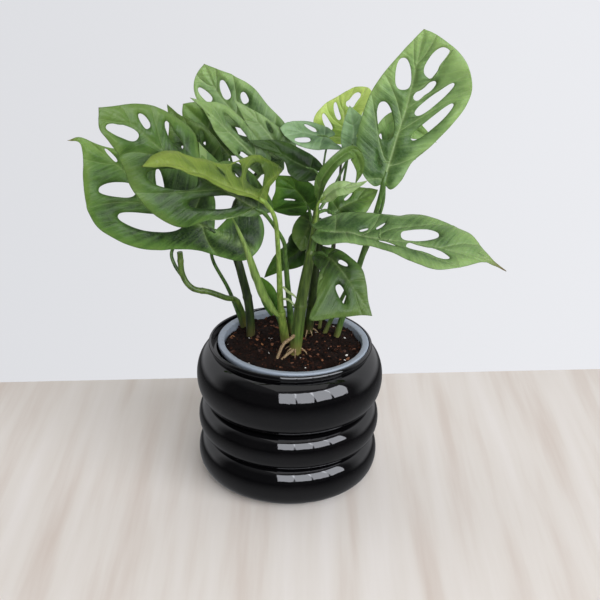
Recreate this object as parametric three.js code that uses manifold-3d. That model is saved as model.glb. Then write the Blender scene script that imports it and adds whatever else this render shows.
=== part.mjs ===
// Swiss cheese vine (Monstera adansonii) in a glazed pot, in millimetres, +Z up.
// The origin is the middle of the pot's foot, on the surface it stands on, and -Y is the plant's front.
import * as THREE from "three";
import { mergeVertices } from "three/addons/utils/BufferGeometryUtils.js";
import Module from "manifold-3d";

// Driving dimensions of the glazed pot.
const POT_HEIGHT = 121;
const RIM_RADIUS = 69;
const RIM_WALL = 2.6;
const POT_WALL = 4.5;
const FLOOR_THICKNESS = 6;
const FOOT_RADIUS = 60;
// The three stacked rings, from the bottom up: height of the middle, radius, half height and the radius
// of the crease that the ring bulges from.
const RINGS = [
  { middle: 19.2, radius: 77.4, half: 17.6, core: 64 },
  { middle: 51.3, radius: 77.4, half: 15.2, core: 66 },
  { middle: 90.4, radius: 79, half: 25, core: 60 },
];
const RING_FULLNESS = 0.8;
// The rolled rim from the neck to the top and down inside: change of radius and depth below the top.
const RIM_OUTSIDE = [[-2, 6.5], [-0.6, 4.5], [0, 2.6], [-0.6, 0.8], [-1.7, 0]];
const RIM_INSIDE = [[0.5, 0.5], [0, 2], [0, 10]];
// The inner wall from the shoulder to the floor: distance in from the rim's radius, and height.
const INNER_WALL = [[POT_WALL, POT_HEIGHT - 18], [POT_WALL, 66], [POT_WALL + 2, 30]];
const POT_SEGMENTS = 40;
const RING_STEPS = 8;

// Driving dimensions of the grey nursery pot that stands in it, a little off the middle.
const LINER_SHIFT = 2.4;
const LINER_TOP = 121.2;
const LINER_LIP_RADIUS = 63.7;
const LINER_LIP_DEPTH = 5;
const LINER_COLLAR_DEPTH = 8;
const LINER_MOUTH_RADIUS = 58;
const LINER_FOOT_RADIUS = 46;
const LINER_WALL = 1.2;
const LINER_FLOOR = 2.2;

// Driving dimensions of the soil plug.
const SOIL_TOP = 118;
const SOIL_RADIUS = 57;
const SOIL_FOOT_RADIUS = 43.6;
const SOIL_FLOOR = FLOOR_THICKNESS + 3.2;
const SOIL_RINGS = 6;
const SOIL_SIDES = 24;
const SOIL_RIM_DROP = 1;
// Lumps in its top: height, length along X and Y, and where each wave starts.
const SOIL_LUMPS = [
  { height: 1.6, runs: [9, 7], starts: [1, 2] },
  { height: 0.9, runs: [3.7, 4.3], starts: [0, Math.PI / 2] },
];

// Gaps: between pieces that rest together, and round a stem or stalk that stands in a hole.
const CLEAR = 0.3;
const HOLE_ROOM = 0.45;

// How finely stems, stalks and roots are made.
const STEM = { sides: 8, steps: 12 };
const STALK = { sides: 5, steps: 8 };
const ROOT = { sides: 6, steps: 6 };
const CANE = { sides: 6, steps: 4 };
const ROLL = { sides: 7, steps: 12 };

// Leaf blades.
const BLADE_THICKNESS = 0.7;
// A stalk meets its blade this far under the rib, and runs on along it for this far.
const STALK_SINK = 0.7;
const STALK_REACH = 9;
// The distance from the rib at which a half has turned by its full curl.
const CURL_SPAN = 40;
const VEIN_STEPS = 3;
const MARGIN_STEPS_PER_POINT = 1.6;
// The least breadth of blade left between two holes, and between a hole and the margin.
const VEIN_WIDTH = 2.6;
// A side vein leans towards the tip by at most these slopes, and leaves the rib behind its hole.
const VEIN_SLOPES = [-0.6, 1.2];
const VEIN_SETBACK = 0.6;
// Side veins bend this share of the way along and out where no hole shows their course.
const VEIN_BEND = { along: 0.32, out: 0.62 };
// Holes are fuller than an ellipse, and a little wider towards the rib.
const HOLE_FULLNESS = 0.8;
const HOLE_TAPER = 0.2;

const wasm = await Module();
wasm.setup();

const plant = new THREE.Group();

// Solids.

function toSolid(geometry) {
  const bare = new THREE.BufferGeometry();
  bare.setAttribute("position", geometry.getAttribute("position"));
  if (geometry.index) bare.setIndex(geometry.index);
  const merged = mergeVertices(bare, 1e-4);
  return new wasm.Manifold(
    new wasm.Mesh({
      numProp: 3,
      vertProperties: merged.attributes.position.array,
      triVerts: new Uint32Array(merged.index.array),
    }),
  );
}

function toGeometry(solid) {
  const mesh = solid.getMesh();
  const geometry = new THREE.BufferGeometry();
  geometry.setAttribute("position", new THREE.BufferAttribute(mesh.vertProperties, 3));
  geometry.setIndex(new THREE.BufferAttribute(mesh.triVerts, 1));
  return geometry;
}

function fromLists(positions, index) {
  const geometry = new THREE.BufferGeometry();
  geometry.setAttribute("position", new THREE.Float32BufferAttribute(positions, 3));
  geometry.setIndex(index);
  return geometry;
}

function turned(profile, segments) {
  // A solid of revolution about +Z from [radius, height] points listed anticlockwise.
  const points = profile.map(([radius, height]) => new THREE.Vector2(radius, height));
  return new THREE.LatheGeometry(points, segments).rotateX(Math.PI / 2);
}

function add(name, geometry, colour, roughness) {
  const material = new THREE.MeshStandardMaterial({ color: colour, roughness, metalness: 0 });
  material.side = THREE.DoubleSide;
  const mesh = new THREE.Mesh(geometry, material);
  mesh.name = name;
  plant.add(mesh);
}

// Glazed pot: three bulging rings under a low neck with a rolled rim.

function ringArc(ring) {
  const points = [];
  for (let step = 1; step < RING_STEPS; step += 1) {
    const angle = Math.PI * (step / RING_STEPS - 0.5);
    const bulge = (ring.radius - ring.core) * Math.cos(angle) ** RING_FULLNESS;
    points.push([ring.core + bulge, ring.middle + ring.half * Math.sin(angle)]);
  }
  return points;
}

function potProfile() {
  const inner = RIM_RADIUS - RIM_WALL;
  return [
    [0, 0],
    [FOOT_RADIUS, 0],
    ...RINGS.flatMap(ringArc),
    ...RIM_OUTSIDE.map(([change, depth]) => [RIM_RADIUS + change, POT_HEIGHT - depth]),
    ...RIM_INSIDE.map(([change, depth]) => [inner + change, POT_HEIGHT - depth]),
    ...INNER_WALL.map(([inset, height]) => [RIM_RADIUS - inset, height]),
    [FOOT_RADIUS - POT_WALL, FLOOR_THICKNESS],
    [0, FLOOR_THICKNESS],
  ];
}

add("glazed_pot", turned(potProfile(), POT_SEGMENTS), 0x0b0b0d, 0.08);

// Grey plastic nursery pot, standing on the glazed pot's floor.

function linerProfile() {
  const bottom = FLOOR_THICKNESS + CLEAR;
  const floor = bottom + LINER_FLOOR;
  return [
    [0, bottom],
    [LINER_FOOT_RADIUS, bottom],
    [LINER_MOUTH_RADIUS + LINER_WALL, LINER_TOP - LINER_COLLAR_DEPTH],
    [LINER_LIP_RADIUS - 1, LINER_TOP - LINER_LIP_DEPTH],
    [LINER_LIP_RADIUS, LINER_TOP - 1],
    [LINER_LIP_RADIUS - 1, LINER_TOP],
    [LINER_MOUTH_RADIUS + 0.8, LINER_TOP],
    [LINER_MOUTH_RADIUS, LINER_TOP - 1],
    [LINER_MOUTH_RADIUS - 0.4, LINER_TOP - LINER_COLLAR_DEPTH],
    [LINER_FOOT_RADIUS - LINER_WALL, floor],
    [0, floor],
  ];
}

add("nursery_pot", turned(linerProfile(), POT_SEGMENTS).translate(LINER_SHIFT, 0, 0), 0x8f979f, 0.45);

// Curves: a smooth line through its points, in three or two coordinates.

function through(points) {
  const places = points.map(([x, y, z = 0]) => new THREE.Vector3(x, y, z));
  return new THREE.CatmullRomCurve3(places, false, "catmullrom", 0.5);
}

function mix(from, to, share) {
  return from + (to - from) * share;
}

// A round limb along a curve, closed at both ends. Its radii are spread evenly over its length.

function limb(curve, radii, { sides, steps }) {
  const frames = curve.computeFrenetFrames(steps, false);
  const positions = [];
  const index = [];
  for (let step = 0; step <= steps; step += 1) {
    const share = step / steps;
    const centre = curve.getPointAt(share);
    const place = share * (radii.length - 1);
    const low = Math.min(Math.floor(place), radii.length - 2);
    const radius = mix(radii[low], radii[low + 1], place - low);
    for (let side = 0; side < sides; side += 1) {
      const angle = (2 * Math.PI * side) / sides;
      const spot = centre.clone();
      spot.addScaledVector(frames.normals[step], radius * Math.cos(angle));
      spot.addScaledVector(frames.binormals[step], radius * Math.sin(angle));
      positions.push(spot.x, spot.y, spot.z);
    }
  }
  for (let step = 0; step < steps; step += 1) {
    for (let side = 0; side < sides; side += 1) {
      const here = step * sides + side;
      const next = step * sides + ((side + 1) % sides);
      index.push(here, next, next + sides, here, next + sides, here + sides);
    }
  }
  const last = steps * sides;
  for (let side = 1; side < sides - 1; side += 1) {
    index.push(0, side + 1, side, last, last + side, last + side + 1);
  }
  return fromLists(positions, index);
}

// Leaves. A leaf is drawn flat first, with [along, out] in millimetres from where the stalk joins:
// along its rib towards the tip, and out to either side. The flat drawing then takes the rib's curve.
//   rib: places along the midrib, from stalk to tip
//   face: which way the upper side looks at the stalk and at the tip
//   fold, curl: how far each half lifts at the rib, and how much more it turns by the margin, in degrees,
//     as [left, right] at the stalk, at any places evenly spaced between, and at the tip
//   left, right: the margin from stalk to tip, seen from above with the tip up; a negative out crosses
//     the rib's line, as where a lobe wraps round the stalk
//   holes: [from along, from out, to along, to out, width], from the rib outwards; width 0 is no hole

// The value at a share of the way through evenly spaced [left, right] pairs.
function station(pairs, share, half) {
  const place = share * (pairs.length - 1);
  const low = Math.min(Math.floor(place), pairs.length - 2);
  return mix(pairs[low][half], pairs[low + 1][half], place - low);
}

class Blade {
  constructor(leaf) {
    this.leaf = leaf;
    this.rib = through(leaf.rib);
    this.length = this.rib.getLength();
    this.face = leaf.face.map((direction) => new THREE.Vector3(...direction));
    this.spots = [];
    this.known = new Map();
    this.triangles = [];
  }

  bent(along, out) {
    const { fold, curl } = this.leaf;
    const share = THREE.MathUtils.clamp(along / this.length, 0, 1);
    const ahead = this.rib.getTangentAt(share);
    const spot = this.rib.getPointAt(share).addScaledVector(ahead, along - share * this.length);
    const up = this.face[0].clone().lerp(this.face[1], share);
    up.addScaledVector(ahead, -up.dot(ahead)).normalize();
    const across = new THREE.Vector3().crossVectors(ahead, up);
    const half = out < 0 ? 0 : 1;
    const lift = THREE.MathUtils.degToRad(station(fold, share, half));
    const turn = THREE.MathUtils.degToRad(station(curl, share, half)) / CURL_SPAN;
    const reach = Math.abs(out);
    let side = reach * Math.cos(lift);
    let height = reach * Math.sin(lift);
    if (Math.abs(turn) > 1e-5) {
      side = (Math.sin(lift + turn * reach) - Math.sin(lift)) / turn;
      height = (Math.cos(lift) - Math.cos(lift + turn * reach)) / turn;
    }
    spot.addScaledVector(across, out < 0 ? -side : side);
    return spot.addScaledVector(up, height);
  }

  corner(along, out) {
    const key = along.toFixed(2) + " " + out.toFixed(2);
    if (!this.known.has(key)) {
      this.known.set(key, this.spots.length);
      this.spots.push(this.bent(along, out));
    }
    return this.known.get(key);
  }

  triangle(a, b, c, flip) {
    if (a === b || b === c || c === a) return;
    this.triangles.push(flip ? [a, c, b] : [a, b, c]);
  }
}

function middle([along0, out0, along1, out1]) {
  return new THREE.Vector2((along0 + along1) / 2, (out0 + out1) / 2);
}

// How far a hole reaches from its middle, in a direction.
function extent([along0, out0, along1, out1, width], way) {
  const axis = new THREE.Vector2(along1 - along0, out1 - out0);
  const half = axis.length() / 2;
  axis.normalize();
  return Math.hypot(half * way.dot(axis), (width / 2) * way.cross(axis));
}

// The side veins of one half run midway between its holes, from the rib to the margin.

// Where on the margin, as a share of it, a hole's line would come out.
function marginShare(margin, [along0, out0, along1, out1]) {
  const beyond = 0.2;
  const aim = new THREE.Vector3(mix(along1, along0, -beyond), mix(out1, out0, -beyond), 0);
  const tries = 100;
  let best = 0;
  for (let step = 1; step < tries; step += 1) {
    const nearer = margin.getPoint(step / tries).distanceTo(aim) < margin.getPoint(best).distanceTo(aim);
    if (nearer) best = step / tries;
  }
  return best;
}

// The place in the gap between two holes that the vein between them runs through.
function gapBetween(below, above) {
  const start = middle(below);
  const way = middle(above).sub(start);
  const apart = way.length();
  way.normalize();
  const spacing = (apart + extent(below, way) - extent(above, way)) / 2;
  return start.addScaledVector(way, THREE.MathUtils.clamp(spacing, 0.2 * apart, 0.8 * apart));
}

function sideVeins(length, margin, holes) {
  const lines = holes.map((hole) => {
    const [along0, out0, along1, out1] = hole;
    const slope = THREE.MathUtils.clamp((along1 - along0) / (out1 - out0), ...VEIN_SLOPES);
    const root = THREE.MathUtils.clamp(along0 - VEIN_SETBACK * slope * out0, 1, length - 4);
    return { root, end: marginShare(margin, hole) };
  });
  const first = lines[0];
  const last = lines[lines.length - 1];
  const veins = [{ root: first.root * 0.45, end: first.end * 0.62 }];
  for (let place = 1; place < lines.length; place += 1) {
    const [below, above] = [holes[place - 1], holes[place]];
    // A wide hole pushes the vein's end away from itself.
    const push = above[4] ** 2 / (above[4] ** 2 + below[4] ** 2);
    veins.push({
      root: (lines[place - 1].root + lines[place].root) / 2,
      end: mix(lines[place - 1].end, lines[place].end, push),
      past: gapBetween(below, above),
    });
  }
  veins.push({ root: mix(last.root, length, 0.4), end: mix(last.end, 1, 0.4) });
  return veins;
}

function veinPoint(margin, vein, share) {
  const tip = margin.getPoint(vein.end);
  let bendAlong = mix(vein.root, tip.x, VEIN_BEND.along);
  let bendOut = tip.y * VEIN_BEND.out;
  if (vein.past) {
    bendAlong = 2 * vein.past.x - (vein.root + tip.x) / 2;
    bendOut = 2 * vein.past.y - tip.y / 2;
  }
  const near = (1 - share) ** 2;
  const between = 2 * share * (1 - share);
  const far = share ** 2;
  return [near * vein.root + between * bendAlong + far * tip.x, between * bendOut + far * tip.y];
}

function full(value) {
  return Math.sign(value) * Math.abs(value) ** HOLE_FULLNESS;
}

// The point of a hole's edge that faces a point of the border round it.
function holePoint([along0, out0, along1, out1, width], [along, out]) {
  const centre = [(along0 + along1) / 2, (out0 + out1) / 2];
  const half = Math.hypot(along1 - along0, out1 - out0) / 2;
  const axis = [(along1 - along0) / 2 / half, (out1 - out0) / 2 / half];
  const ahead = ((along - centre[0]) * axis[0] + (out - centre[1]) * axis[1]) / half;
  const beside = ((out - centre[1]) * axis[0] - (along - centre[0]) * axis[1]) / (width / 2);
  const angle = Math.atan2(beside, ahead);
  const reach = half * full(Math.cos(angle));
  const breadth = (width / 2) * full(Math.sin(angle)) * (1 - HOLE_TAPER * Math.cos(angle));
  const room = Math.hypot(along - centre[0], out - centre[1]) - VEIN_WIDTH / 2;
  const share = Math.min(1, room / Math.hypot(reach, breadth));
  return [
    centre[0] + share * (axis[0] * reach - axis[1] * breadth),
    centre[1] + share * (axis[1] * reach + axis[0] * breadth),
  ];
}

// One panel of blade inside its border, in one fan or round its hole.
function panel(blade, border, hole, side) {
  const flip = side < 0;
  const outer = border.map(([along, out]) => blade.corner(along, side * out));
  const count = border.length;
  if (!hole || !hole[4]) {
    const mean = [0, 1].map((axis) => border.reduce((sum, point) => sum + point[axis], 0) / count);
    const centre = blade.corner(mean[0], side * mean[1]);
    for (let place = 0; place < count; place += 1) {
      blade.triangle(centre, outer[place], outer[(place + 1) % count], flip);
    }
    return;
  }
  const ring = border.map((point) => {
    const [along, out] = holePoint(hole, point);
    return blade.corner(along, side * out);
  });
  for (let place = 0; place < count; place += 1) {
    const next = (place + 1) % count;
    blade.triangle(outer[place], outer[next], ring[next], flip);
    blade.triangle(outer[place], ring[next], ring[place], flip);
  }
}

function halfBlade(blade, { side, margin, veins, holes }, stops) {
  // Panels lie between neighbouring veins, with one for the lobe at the stalk and one for the tip.
  const rows = [{ root: 0, end: 0 }, ...veins, { root: blade.length, end: 1 }];
  const lastRow = rows.length - 2;
  for (let row = 0; row <= lastRow; row += 1) {
    const low = rows[row];
    const high = rows[row + 1];
    const border = [];
    if (row > 0) {
      for (let step = 0; step < VEIN_STEPS; step += 1) {
        border.push(veinPoint(margin, low, step / VEIN_STEPS));
      }
    } else {
      border.push([0, 0]);
    }
    const span = (high.end - low.end) * (margin.points.length - 1);
    const marginSteps = Math.max(1, Math.round(span * MARGIN_STEPS_PER_POINT));
    for (let step = row > 0 ? 0 : 1; step < marginSteps; step += 1) {
      const spot = margin.getPoint(mix(low.end, high.end, step / marginSteps));
      border.push([spot.x, spot.y]);
    }
    if (row < lastRow) {
      for (let step = VEIN_STEPS; step > 0; step -= 1) {
        border.push(veinPoint(margin, high, step / VEIN_STEPS));
      }
    }
    border.push([high.root, 0]);
    const between = stops.filter((stop) => stop > low.root + 0.01 && stop < high.root - 0.01);
    between.reverse().forEach((stop) => border.push([stop, 0]));
    panel(blade, border, row > 0 && row < lastRow ? holes[row - 1] : null, side);
  }
}

// Both faces are split alike: the drawn sheet, half the thickness up and half down, and walls between.

function thicken(spots, triangles, thickness) {
  const normals = spots.map(() => new THREE.Vector3());
  triangles.forEach(([a, b, c]) => {
    const one = spots[b].clone().sub(spots[a]);
    const two = spots[c].clone().sub(spots[a]);
    const normal = one.cross(two);
    [a, b, c].forEach((corner) => normals[corner].add(normal));
  });
  const positions = [];
  [1, -1].forEach((way) => {
    spots.forEach((spot, place) => {
      const moved = spot.clone().addScaledVector(normals[place].clone().normalize(), (way * thickness) / 2);
      positions.push(moved.x, moved.y, moved.z);
    });
  });
  const count = spots.length;
  const edges = new Set(triangles.flatMap(([a, b, c]) => [a + " " + b, b + " " + c, c + " " + a]));
  const index = [];
  triangles.forEach(([a, b, c]) => {
    index.push(a, b, c, a + count, c + count, b + count);
    [[a, b], [b, c], [c, a]].forEach(([from, to]) => {
      if (edges.has(to + " " + from)) return;
      index.push(from, from + count, to, to, from + count, to + count);
    });
  });
  return fromLists(positions, index);
}

function bladeSolid(leaf) {
  const blade = new Blade(leaf);
  const halves = [-1, 1].map((side) => {
    const half = side < 0 ? leaf.left : leaf.right;
    const margin = through([[0, 0], ...half.margin, [blade.length, 0]]);
    const veins = sideVeins(blade.length, margin, half.holes);
    return { side, margin, veins, holes: half.holes };
  });
  const stops = halves.flatMap((half) => half.veins.map((vein) => vein.root)).sort((a, b) => a - b);
  halves.forEach((half) => halfBlade(blade, half, stops));
  return toSolid(thicken(blade.spots, blade.triangles, BLADE_THICKNESS));
}

// Where each leaf sits. Widths of the margin and the holes are read on the flat blade.

const leaves = {
  leaf_top_right: {
    colour: 0x4f7d3c,
    rib: [[70, -8, 263], [78, 0, 294], [87, 4, 330], [94, 0, 382]],
    face: [[-0.15, -1, 0.1], [-0.15, -1, 0.1]],
    fold: [[8, 8], [6, 6]],
    curl: [[-10, -10], [0, 0]],
    left: {
      margin: [[-4, 7], [3, 18], [20, 28], [40, 31], [64, 30], [83, 24], [103, 13], [116, 5]],
      holes: [[12, 6, 19, 10, 3], [33, 7, 61, 19, 13], [74, 6, 99, 11, 12]],
    },
    right: {
      margin: [
        [-3, 7], [6, 13], [22, 17], [36, 26], [46, 31], [60, 38], [74, 44], [88, 45], [104, 38],
        [114, 26], [121, 10],
      ],
      holes: [[39, 11, 73, 34, 7], [58, 8, 88, 31, 7], [69, 4, 86, 17, 6.5], [87, 12, 113, 20, 16]],
    },
    stalk: {
      path: [[37, 14, 91], [39, 13, 116], [56, 8, 189], [62, 4, 215], [68, -6, 249]],
      radii: [2.8, 2.5],
    },
  },
  leaf_right: {
    colour: 0x4f7f42,
    rib: [
      [20, -22, 227], [40, -28, 229], [61, -34, 227], [83, -40, 227], [113, -46, 225],
      [148, -50, 218], [165, -50, 208],
    ],
    face: [[0.05, -0.42, 0.9], [0.05, -0.42, 0.9]],
    fold: [[2, 2], [2, 2]],
    curl: [[-6, -6], [-4, -4]],
    left: {
      margin: [
        [-8, 8], [2, 16], [20, 23], [38, 27], [58, 29], [70, 33], [86, 31], [106, 25],
        [121, 20], [131, 8], [141, 2],
      ],
      holes: [[32, 4, 38, 9, 2.5], [44, 10, 50, 18, 2.5], [65, 6, 94, 13, 13]],
    },
    right: {
      margin: [
        [-4, 8], [6, 16], [18, 14], [34, 10], [48, 10], [62, 14], [82, 21], [98, 24],
        [116, 15], [130, 4], [141, 1.8],
      ],
      holes: [[49, 1.8, 63, 5.5, 2], [71, 3, 105, 9, 10]],
    },
    stalk: { path: [[15, -14, 205], [17, -19, 216]], radii: [2.6, 2] },
  },
  leaf_far_left: {
    colour: 0x3f6b34,
    rib: [
      [-64, 2, 215], [-86, 6, 224], [-113, 14, 237], [-143, 22, 262], [-170, 26, 281],
      [-184, 26, 281],
    ],
    face: [[-0.1, -0.9, 0.45], [-0.1, -0.9, 0.45]],
    fold: [[-10, -10], [-15, -8], [0, 0], [0, 0], [0, 0]],
    curl: [[-20, 0], [0, 0], [0, 0], [0, 0], [0, 0]],
    left: {
      margin: [
        [-4, -13], [-8, -24], [-17, -30], [-28, -28], [-36, -19], [-39, -6], [-36, 6], [-28, 13],
        [-13, 17], [6, 20], [20, 26], [35, 35], [50, 43], [70, 48], [85, 45], [96, 40], [111, 26],
        [119, 16], [126, 8], [132, 3],
      ],
      holes: [[26, 4, 68, 30, 14], [71, 5, 95, 25, 12]],
    },
    right: {
      margin: [[4, 10], [12, 26], [30, 36], [60, 35], [88, 23], [106, 9], [120, 3], [134, 1.5]],
      holes: [[54, 8, 71, 20, 6], [98, 2, 112, 4, 3]],
    },
    stalk: {
      path: [[-40, 31, 92], [-41, 30, 114], [-53, 24, 153], [-66, 15, 184], [-67, 7, 205]],
      radii: [2.2, 1.6],
    },
  },
  leaf_left: {
    colour: 0x557f48,
    rib: [[-22, -36, 245], [-56, -44, 268], [-95, -60, 299], [-116, -70, 321], [-138, -80, 336]],
    face: [[-0.1, -0.85, 0.55], [-0.1, -0.85, 0.55]],
    fold: [[-4, -25], [0, -8]],
    curl: [[-8, -20], [0, 0]],
    left: {
      margin: [
        [10, 8], [18, 12], [36, 25], [50, 39], [64, 43], [82, 42],
        [98, 36], [110, 28], [126, 23], [138, 19], [149, 13],
      ],
      holes: [[24, 2.5, 58, 23, 10], [60, 5, 96, 21, 15], [117, 5, 145, 10, 9]],
    },
    right: {
      margin: [
        [-6, 8], [4, 20], [22, 28], [40, 26], [52, 16], [60, 10], [66, 13],
        [72, 24], [82, 29], [99, 28], [117, 23], [128, 17], [137, 11], [146, 5],
      ],
      holes: [[20, 8, 36, 18, 6], [82, 10, 107, 19, 7], [115, 6, 126, 10, 6]],
    },
    stalk: {
      path: [[1, 22, 91], [1, 20, 116], [-4, 0, 176], [-6, -8, 200], [-8, -18, 217]],
      radii: [3.2, 2.6, 1.8],
    },
  },
  leaf_low_right: {
    colour: 0x5c9440,
    rib: [[23, -24, 209], [33, -40, 208], [47, -54, 194], [63, -60, 172]],
    face: [[0.1, -0.9, 0.4], [0.1, -0.9, 0.4]],
    fold: [[0, 0], [0, 0]],
    curl: [[0, 0], [0, 0]],
    left: {
      margin: [[-5, 5], [7, 8], [23, 12], [36, 14], [48, 10], [60, 4]],
      holes: [[20, 3, 28, 6, 3.5]],
    },
    right: {
      margin: [[-5, 6], [4, 11], [24, 15], [36, 28], [46, 42], [56, 25], [66, 7]],
      holes: [[36, 9, 52, 12, 5.5]],
    },
    stalk: { path: [[13, -15, 198], [18, -19, 206]], radii: [2, 1.6] },
  },
  leaf_left_small: {
    colour: 0x47753b,
    rib: [[-68, 30, 260], [-87, 34, 288], [-104, 32, 312]],
    face: [[-0.2, -0.9, 0.3], [-0.2, -0.9, 0.3]],
    fold: [[8, 8], [4, 4]],
    curl: [[0, 0], [0, 0]],
    left: { margin: [[-4, 9], [10, 22], [30, 23], [48, 9]], holes: [[16, 5, 28, 11, 4]] },
    right: { margin: [[-4, 8], [12, 17], [30, 14], [48, 4]], holes: [[18, 5, 30, 10, 4]] },
    stalk: {
      path: [
        [-84, 9, 162], [-98, 14, 180], [-100, 20, 192], [-85, 28, 203], [-75, 32, 222],
        [-71, 31, 243],
      ],
      radii: [1.7, 1.2],
    },
  },
  leaf_young: {
    colour: 0xa3bf3d,
    rib: [
      [-21, -46, 257], [-30, -52, 265], [-49, -62, 275], [-68, -74, 288], [-88, -86, 298],
      [-107, -96, 299],
    ],
    face: [[0.1, -0.5, 0.8], [0.1, -0.5, 0.8]],
    fold: [[0, 0], [0, 0]],
    curl: [[0, 0], [0, 0]],
    left: {
      margin: [[4, 2.5], [18, 4], [36, 4.5], [54, 4], [78, 4], [98, 2]],
      holes: [[40, 1.5, 56, 2.5, 0]],
    },
    right: {
      margin: [
        [-2, 9], [-6, 21], [-13, 33], [-22, 46], [-7, 46], [7, 44],
        [19, 34], [34, 23], [52, 17], [70, 13], [84, 14], [99, 9],
      ],
      holes: [[14, 9, 3, 37, 15], [28, 13, 25, 29, 9], [39, 9, 46, 15, 3]],
    },
    stalk: { path: [[-8, -8, 150], [-9, -10, 158], [-11, -28, 205], [-14, -41, 242]], radii: [2.8, 2] },
  },
  leaf_folded: {
    colour: 0x5b9a3a,
    rib: [[19, -14, 250], [21, -22, 269], [31, -22, 284], [44, -14, 290], [51, -8, 275], [48, -6, 261]],
    face: [[-0.4, -0.9, 0.2], [0.3, -0.9, 0.2]],
    fold: [[20, 20], [20, 20]],
    curl: [[20, 20], [20, 20]],
    left: { margin: [[4, 3], [20, 5], [40, 5], [56, 5], [70, 4]], holes: [[30, 1.5, 44, 3, 0]] },
    right: { margin: [[4, 3], [20, 5], [40, 5], [56, 6], [70, 5]], holes: [[30, 1.5, 44, 3, 0]] },
    stalk: { path: [[18, -12, 240], [18.5, -13, 245]], radii: [1.6, 1.2] },
  },
  leaf_pale: {
    colour: 0xa9c678,
    rib: [[19, -24, 251], [31, -30, 265], [44, -34, 268], [55, -36, 274]],
    face: [[0, -0.7, 0.7], [0, -0.7, 0.7]],
    fold: [[10, 10], [10, 10]],
    curl: [[0, 0], [0, 0]],
    left: { margin: [[4, 2], [14, 4], [28, 5], [38, 2]], holes: [[14, 1, 20, 3, 0]] },
    right: { margin: [[4, 3], [14, 8], [28, 8], [38, 3]], holes: [[14, 1, 20, 5, 0]] },
    stalk: { path: [[17, -14, 232], [18, -20, 242]], radii: [1.4, 1] },
  },
  leaf_short_right: {
    colour: 0x3f6e35,
    rib: [[33, 0, 234], [40, 2, 240], [53, 4, 246], [67, 6, 253]],
    face: [[0.1, -0.6, 0.8], [0.1, -0.6, 0.8]],
    fold: [[0, 0], [0, 0]],
    curl: [[0, 0], [0, 0]],
    left: { margin: [[-4, 5], [8, 13], [22, 12], [34, 5]], holes: [[12, 4, 20, 8, 2.5]] },
    right: { margin: [[-4, 5], [8, 14], [22, 14], [34, 6]], holes: [[10, 3, 20, 8, 0]] },
    stalk: { path: [[18, -11, 238], [26, -4, 238]], radii: [1.6, 1.2] },
  },
  leaf_middle: {
    colour: 0x4a6b2f,
    rib: [[12, 8, 235], [5, 6, 247], [-5, 4, 257], [-15, 2, 264]],
    face: [[-0.3, -0.9, 0.3], [-0.3, -0.9, 0.3]],
    fold: [[-10, 20], [-10, 20]],
    curl: [[0, 0], [0, 0]],
    left: { margin: [[-4, 9], [6, 27], [20, 29], [34, 10]], holes: [[11, 7, 20, 13, 2.5]] },
    right: { margin: [[-3, 5], [6, 13], [18, 15], [32, 6]], holes: [[10, 3, 18, 9, 0]] },
    stalk: { path: [[17, -12, 224], [14, -2, 229]], radii: [1.6, 1.2] },
  },
  leaf_behind_stem: {
    colour: 0x47663f,
    rib: [[16, 13, 224], [10, 16, 209], [7, 14, 195]],
    face: [[-0.2, -0.9, 0.2], [-0.2, -0.9, 0.2]],
    fold: [[-10, -10], [0, 0]],
    curl: [[0, 0], [0, 0]],
    left: { margin: [[-4, 6], [8, 11], [20, 10], [28, 4]], holes: [[10, 3, 16, 7, 0]] },
    right: { margin: [[-4, 6], [8, 12], [20, 11], [28, 4]], holes: [[10, 3, 16, 7, 0]] },
    stalk: { path: [[16, -12, 211], [18, 2, 217]], radii: [1.5, 1.1] },
  },
  leaf_grey_back: {
    colour: 0x6f8a6b,
    rib: [[26, 24, 290], [12, 26, 292], [-13, 22, 297]],
    face: [[0, -0.6, 0.8], [0, -0.6, 0.8]],
    fold: [[0, 0], [0, 0]],
    curl: [[-10, -10], [0, 0]],
    left: {
      margin: [[-6, 4], [-13, 8], [-2, 12], [12, 15], [26, 13], [35, 7]],
      holes: [[14, 6, 28, 9, 5]],
    },
    right: { margin: [[-5, 4], [1, 9], [12, 12], [23, 11], [34, 7]], holes: [[10, 4, 20, 8, 4]] },
    stalk: { path: [[18, -8, 243], [21, 4, 257], [24, 19, 277]], radii: [1.1, 0.9] },
  },
  leaf_yellow_back: {
    colour: 0xa6c832,
    rib: [[45, 58, 281], [39, 64, 301], [40, 64, 318]],
    face: [[0, -0.9, 0.4], [0, -0.9, 0.4]],
    fold: [[0, 0], [0, 0]],
    curl: [[0, 0], [0, 0]],
    left: {
      margin: [[-4, 8], [4, 20], [18, 26], [26, 17], [32, 8]],
      holes: [[10, 13, 22, 17, 5], [16, 4, 29, 7, 4]],
    },
    right: {
      margin: [[0, 8], [16, 15], [32, 23], [43, 20], [44, 9]],
      holes: [[10, 4, 18, 9, 3], [26, 4, 39, 12, 8]],
    },
    stalk: { path: [[24, 32, 91], [25, 31, 116], [34, 38, 192], [43, 50, 260]], radii: [1.8, 1.3] },
  },
  leaf_right_back: {
    colour: 0x6d8a68,
    rib: [[45, 18, 282], [46, 22, 297], [42, 20, 317]],
    face: [[0, -1, 0.2], [0, -1, 0.2]],
    fold: [[0, 0], [0, 0]],
    curl: [[0, 0], [0, 0]],
    left: { margin: [[-3, 6], [10, 10], [24, 7]], holes: [[10, 2, 16, 6, 0]] },
    right: { margin: [[-3, 8], [10, 13], [24, 9]], holes: [[10, 3, 18, 8, 3]] },
    stalk: { path: [[21, -9, 241], [29, -1, 252], [39, 12, 269]], radii: [1.3, 1] },
  },
  leaf_top_left: {
    colour: 0x5f9140,
    rib: [[-9, 26, 271], [-32, 36, 290], [-56, 44, 309], [-68, 48, 325], [-75, 48, 341]],
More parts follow.
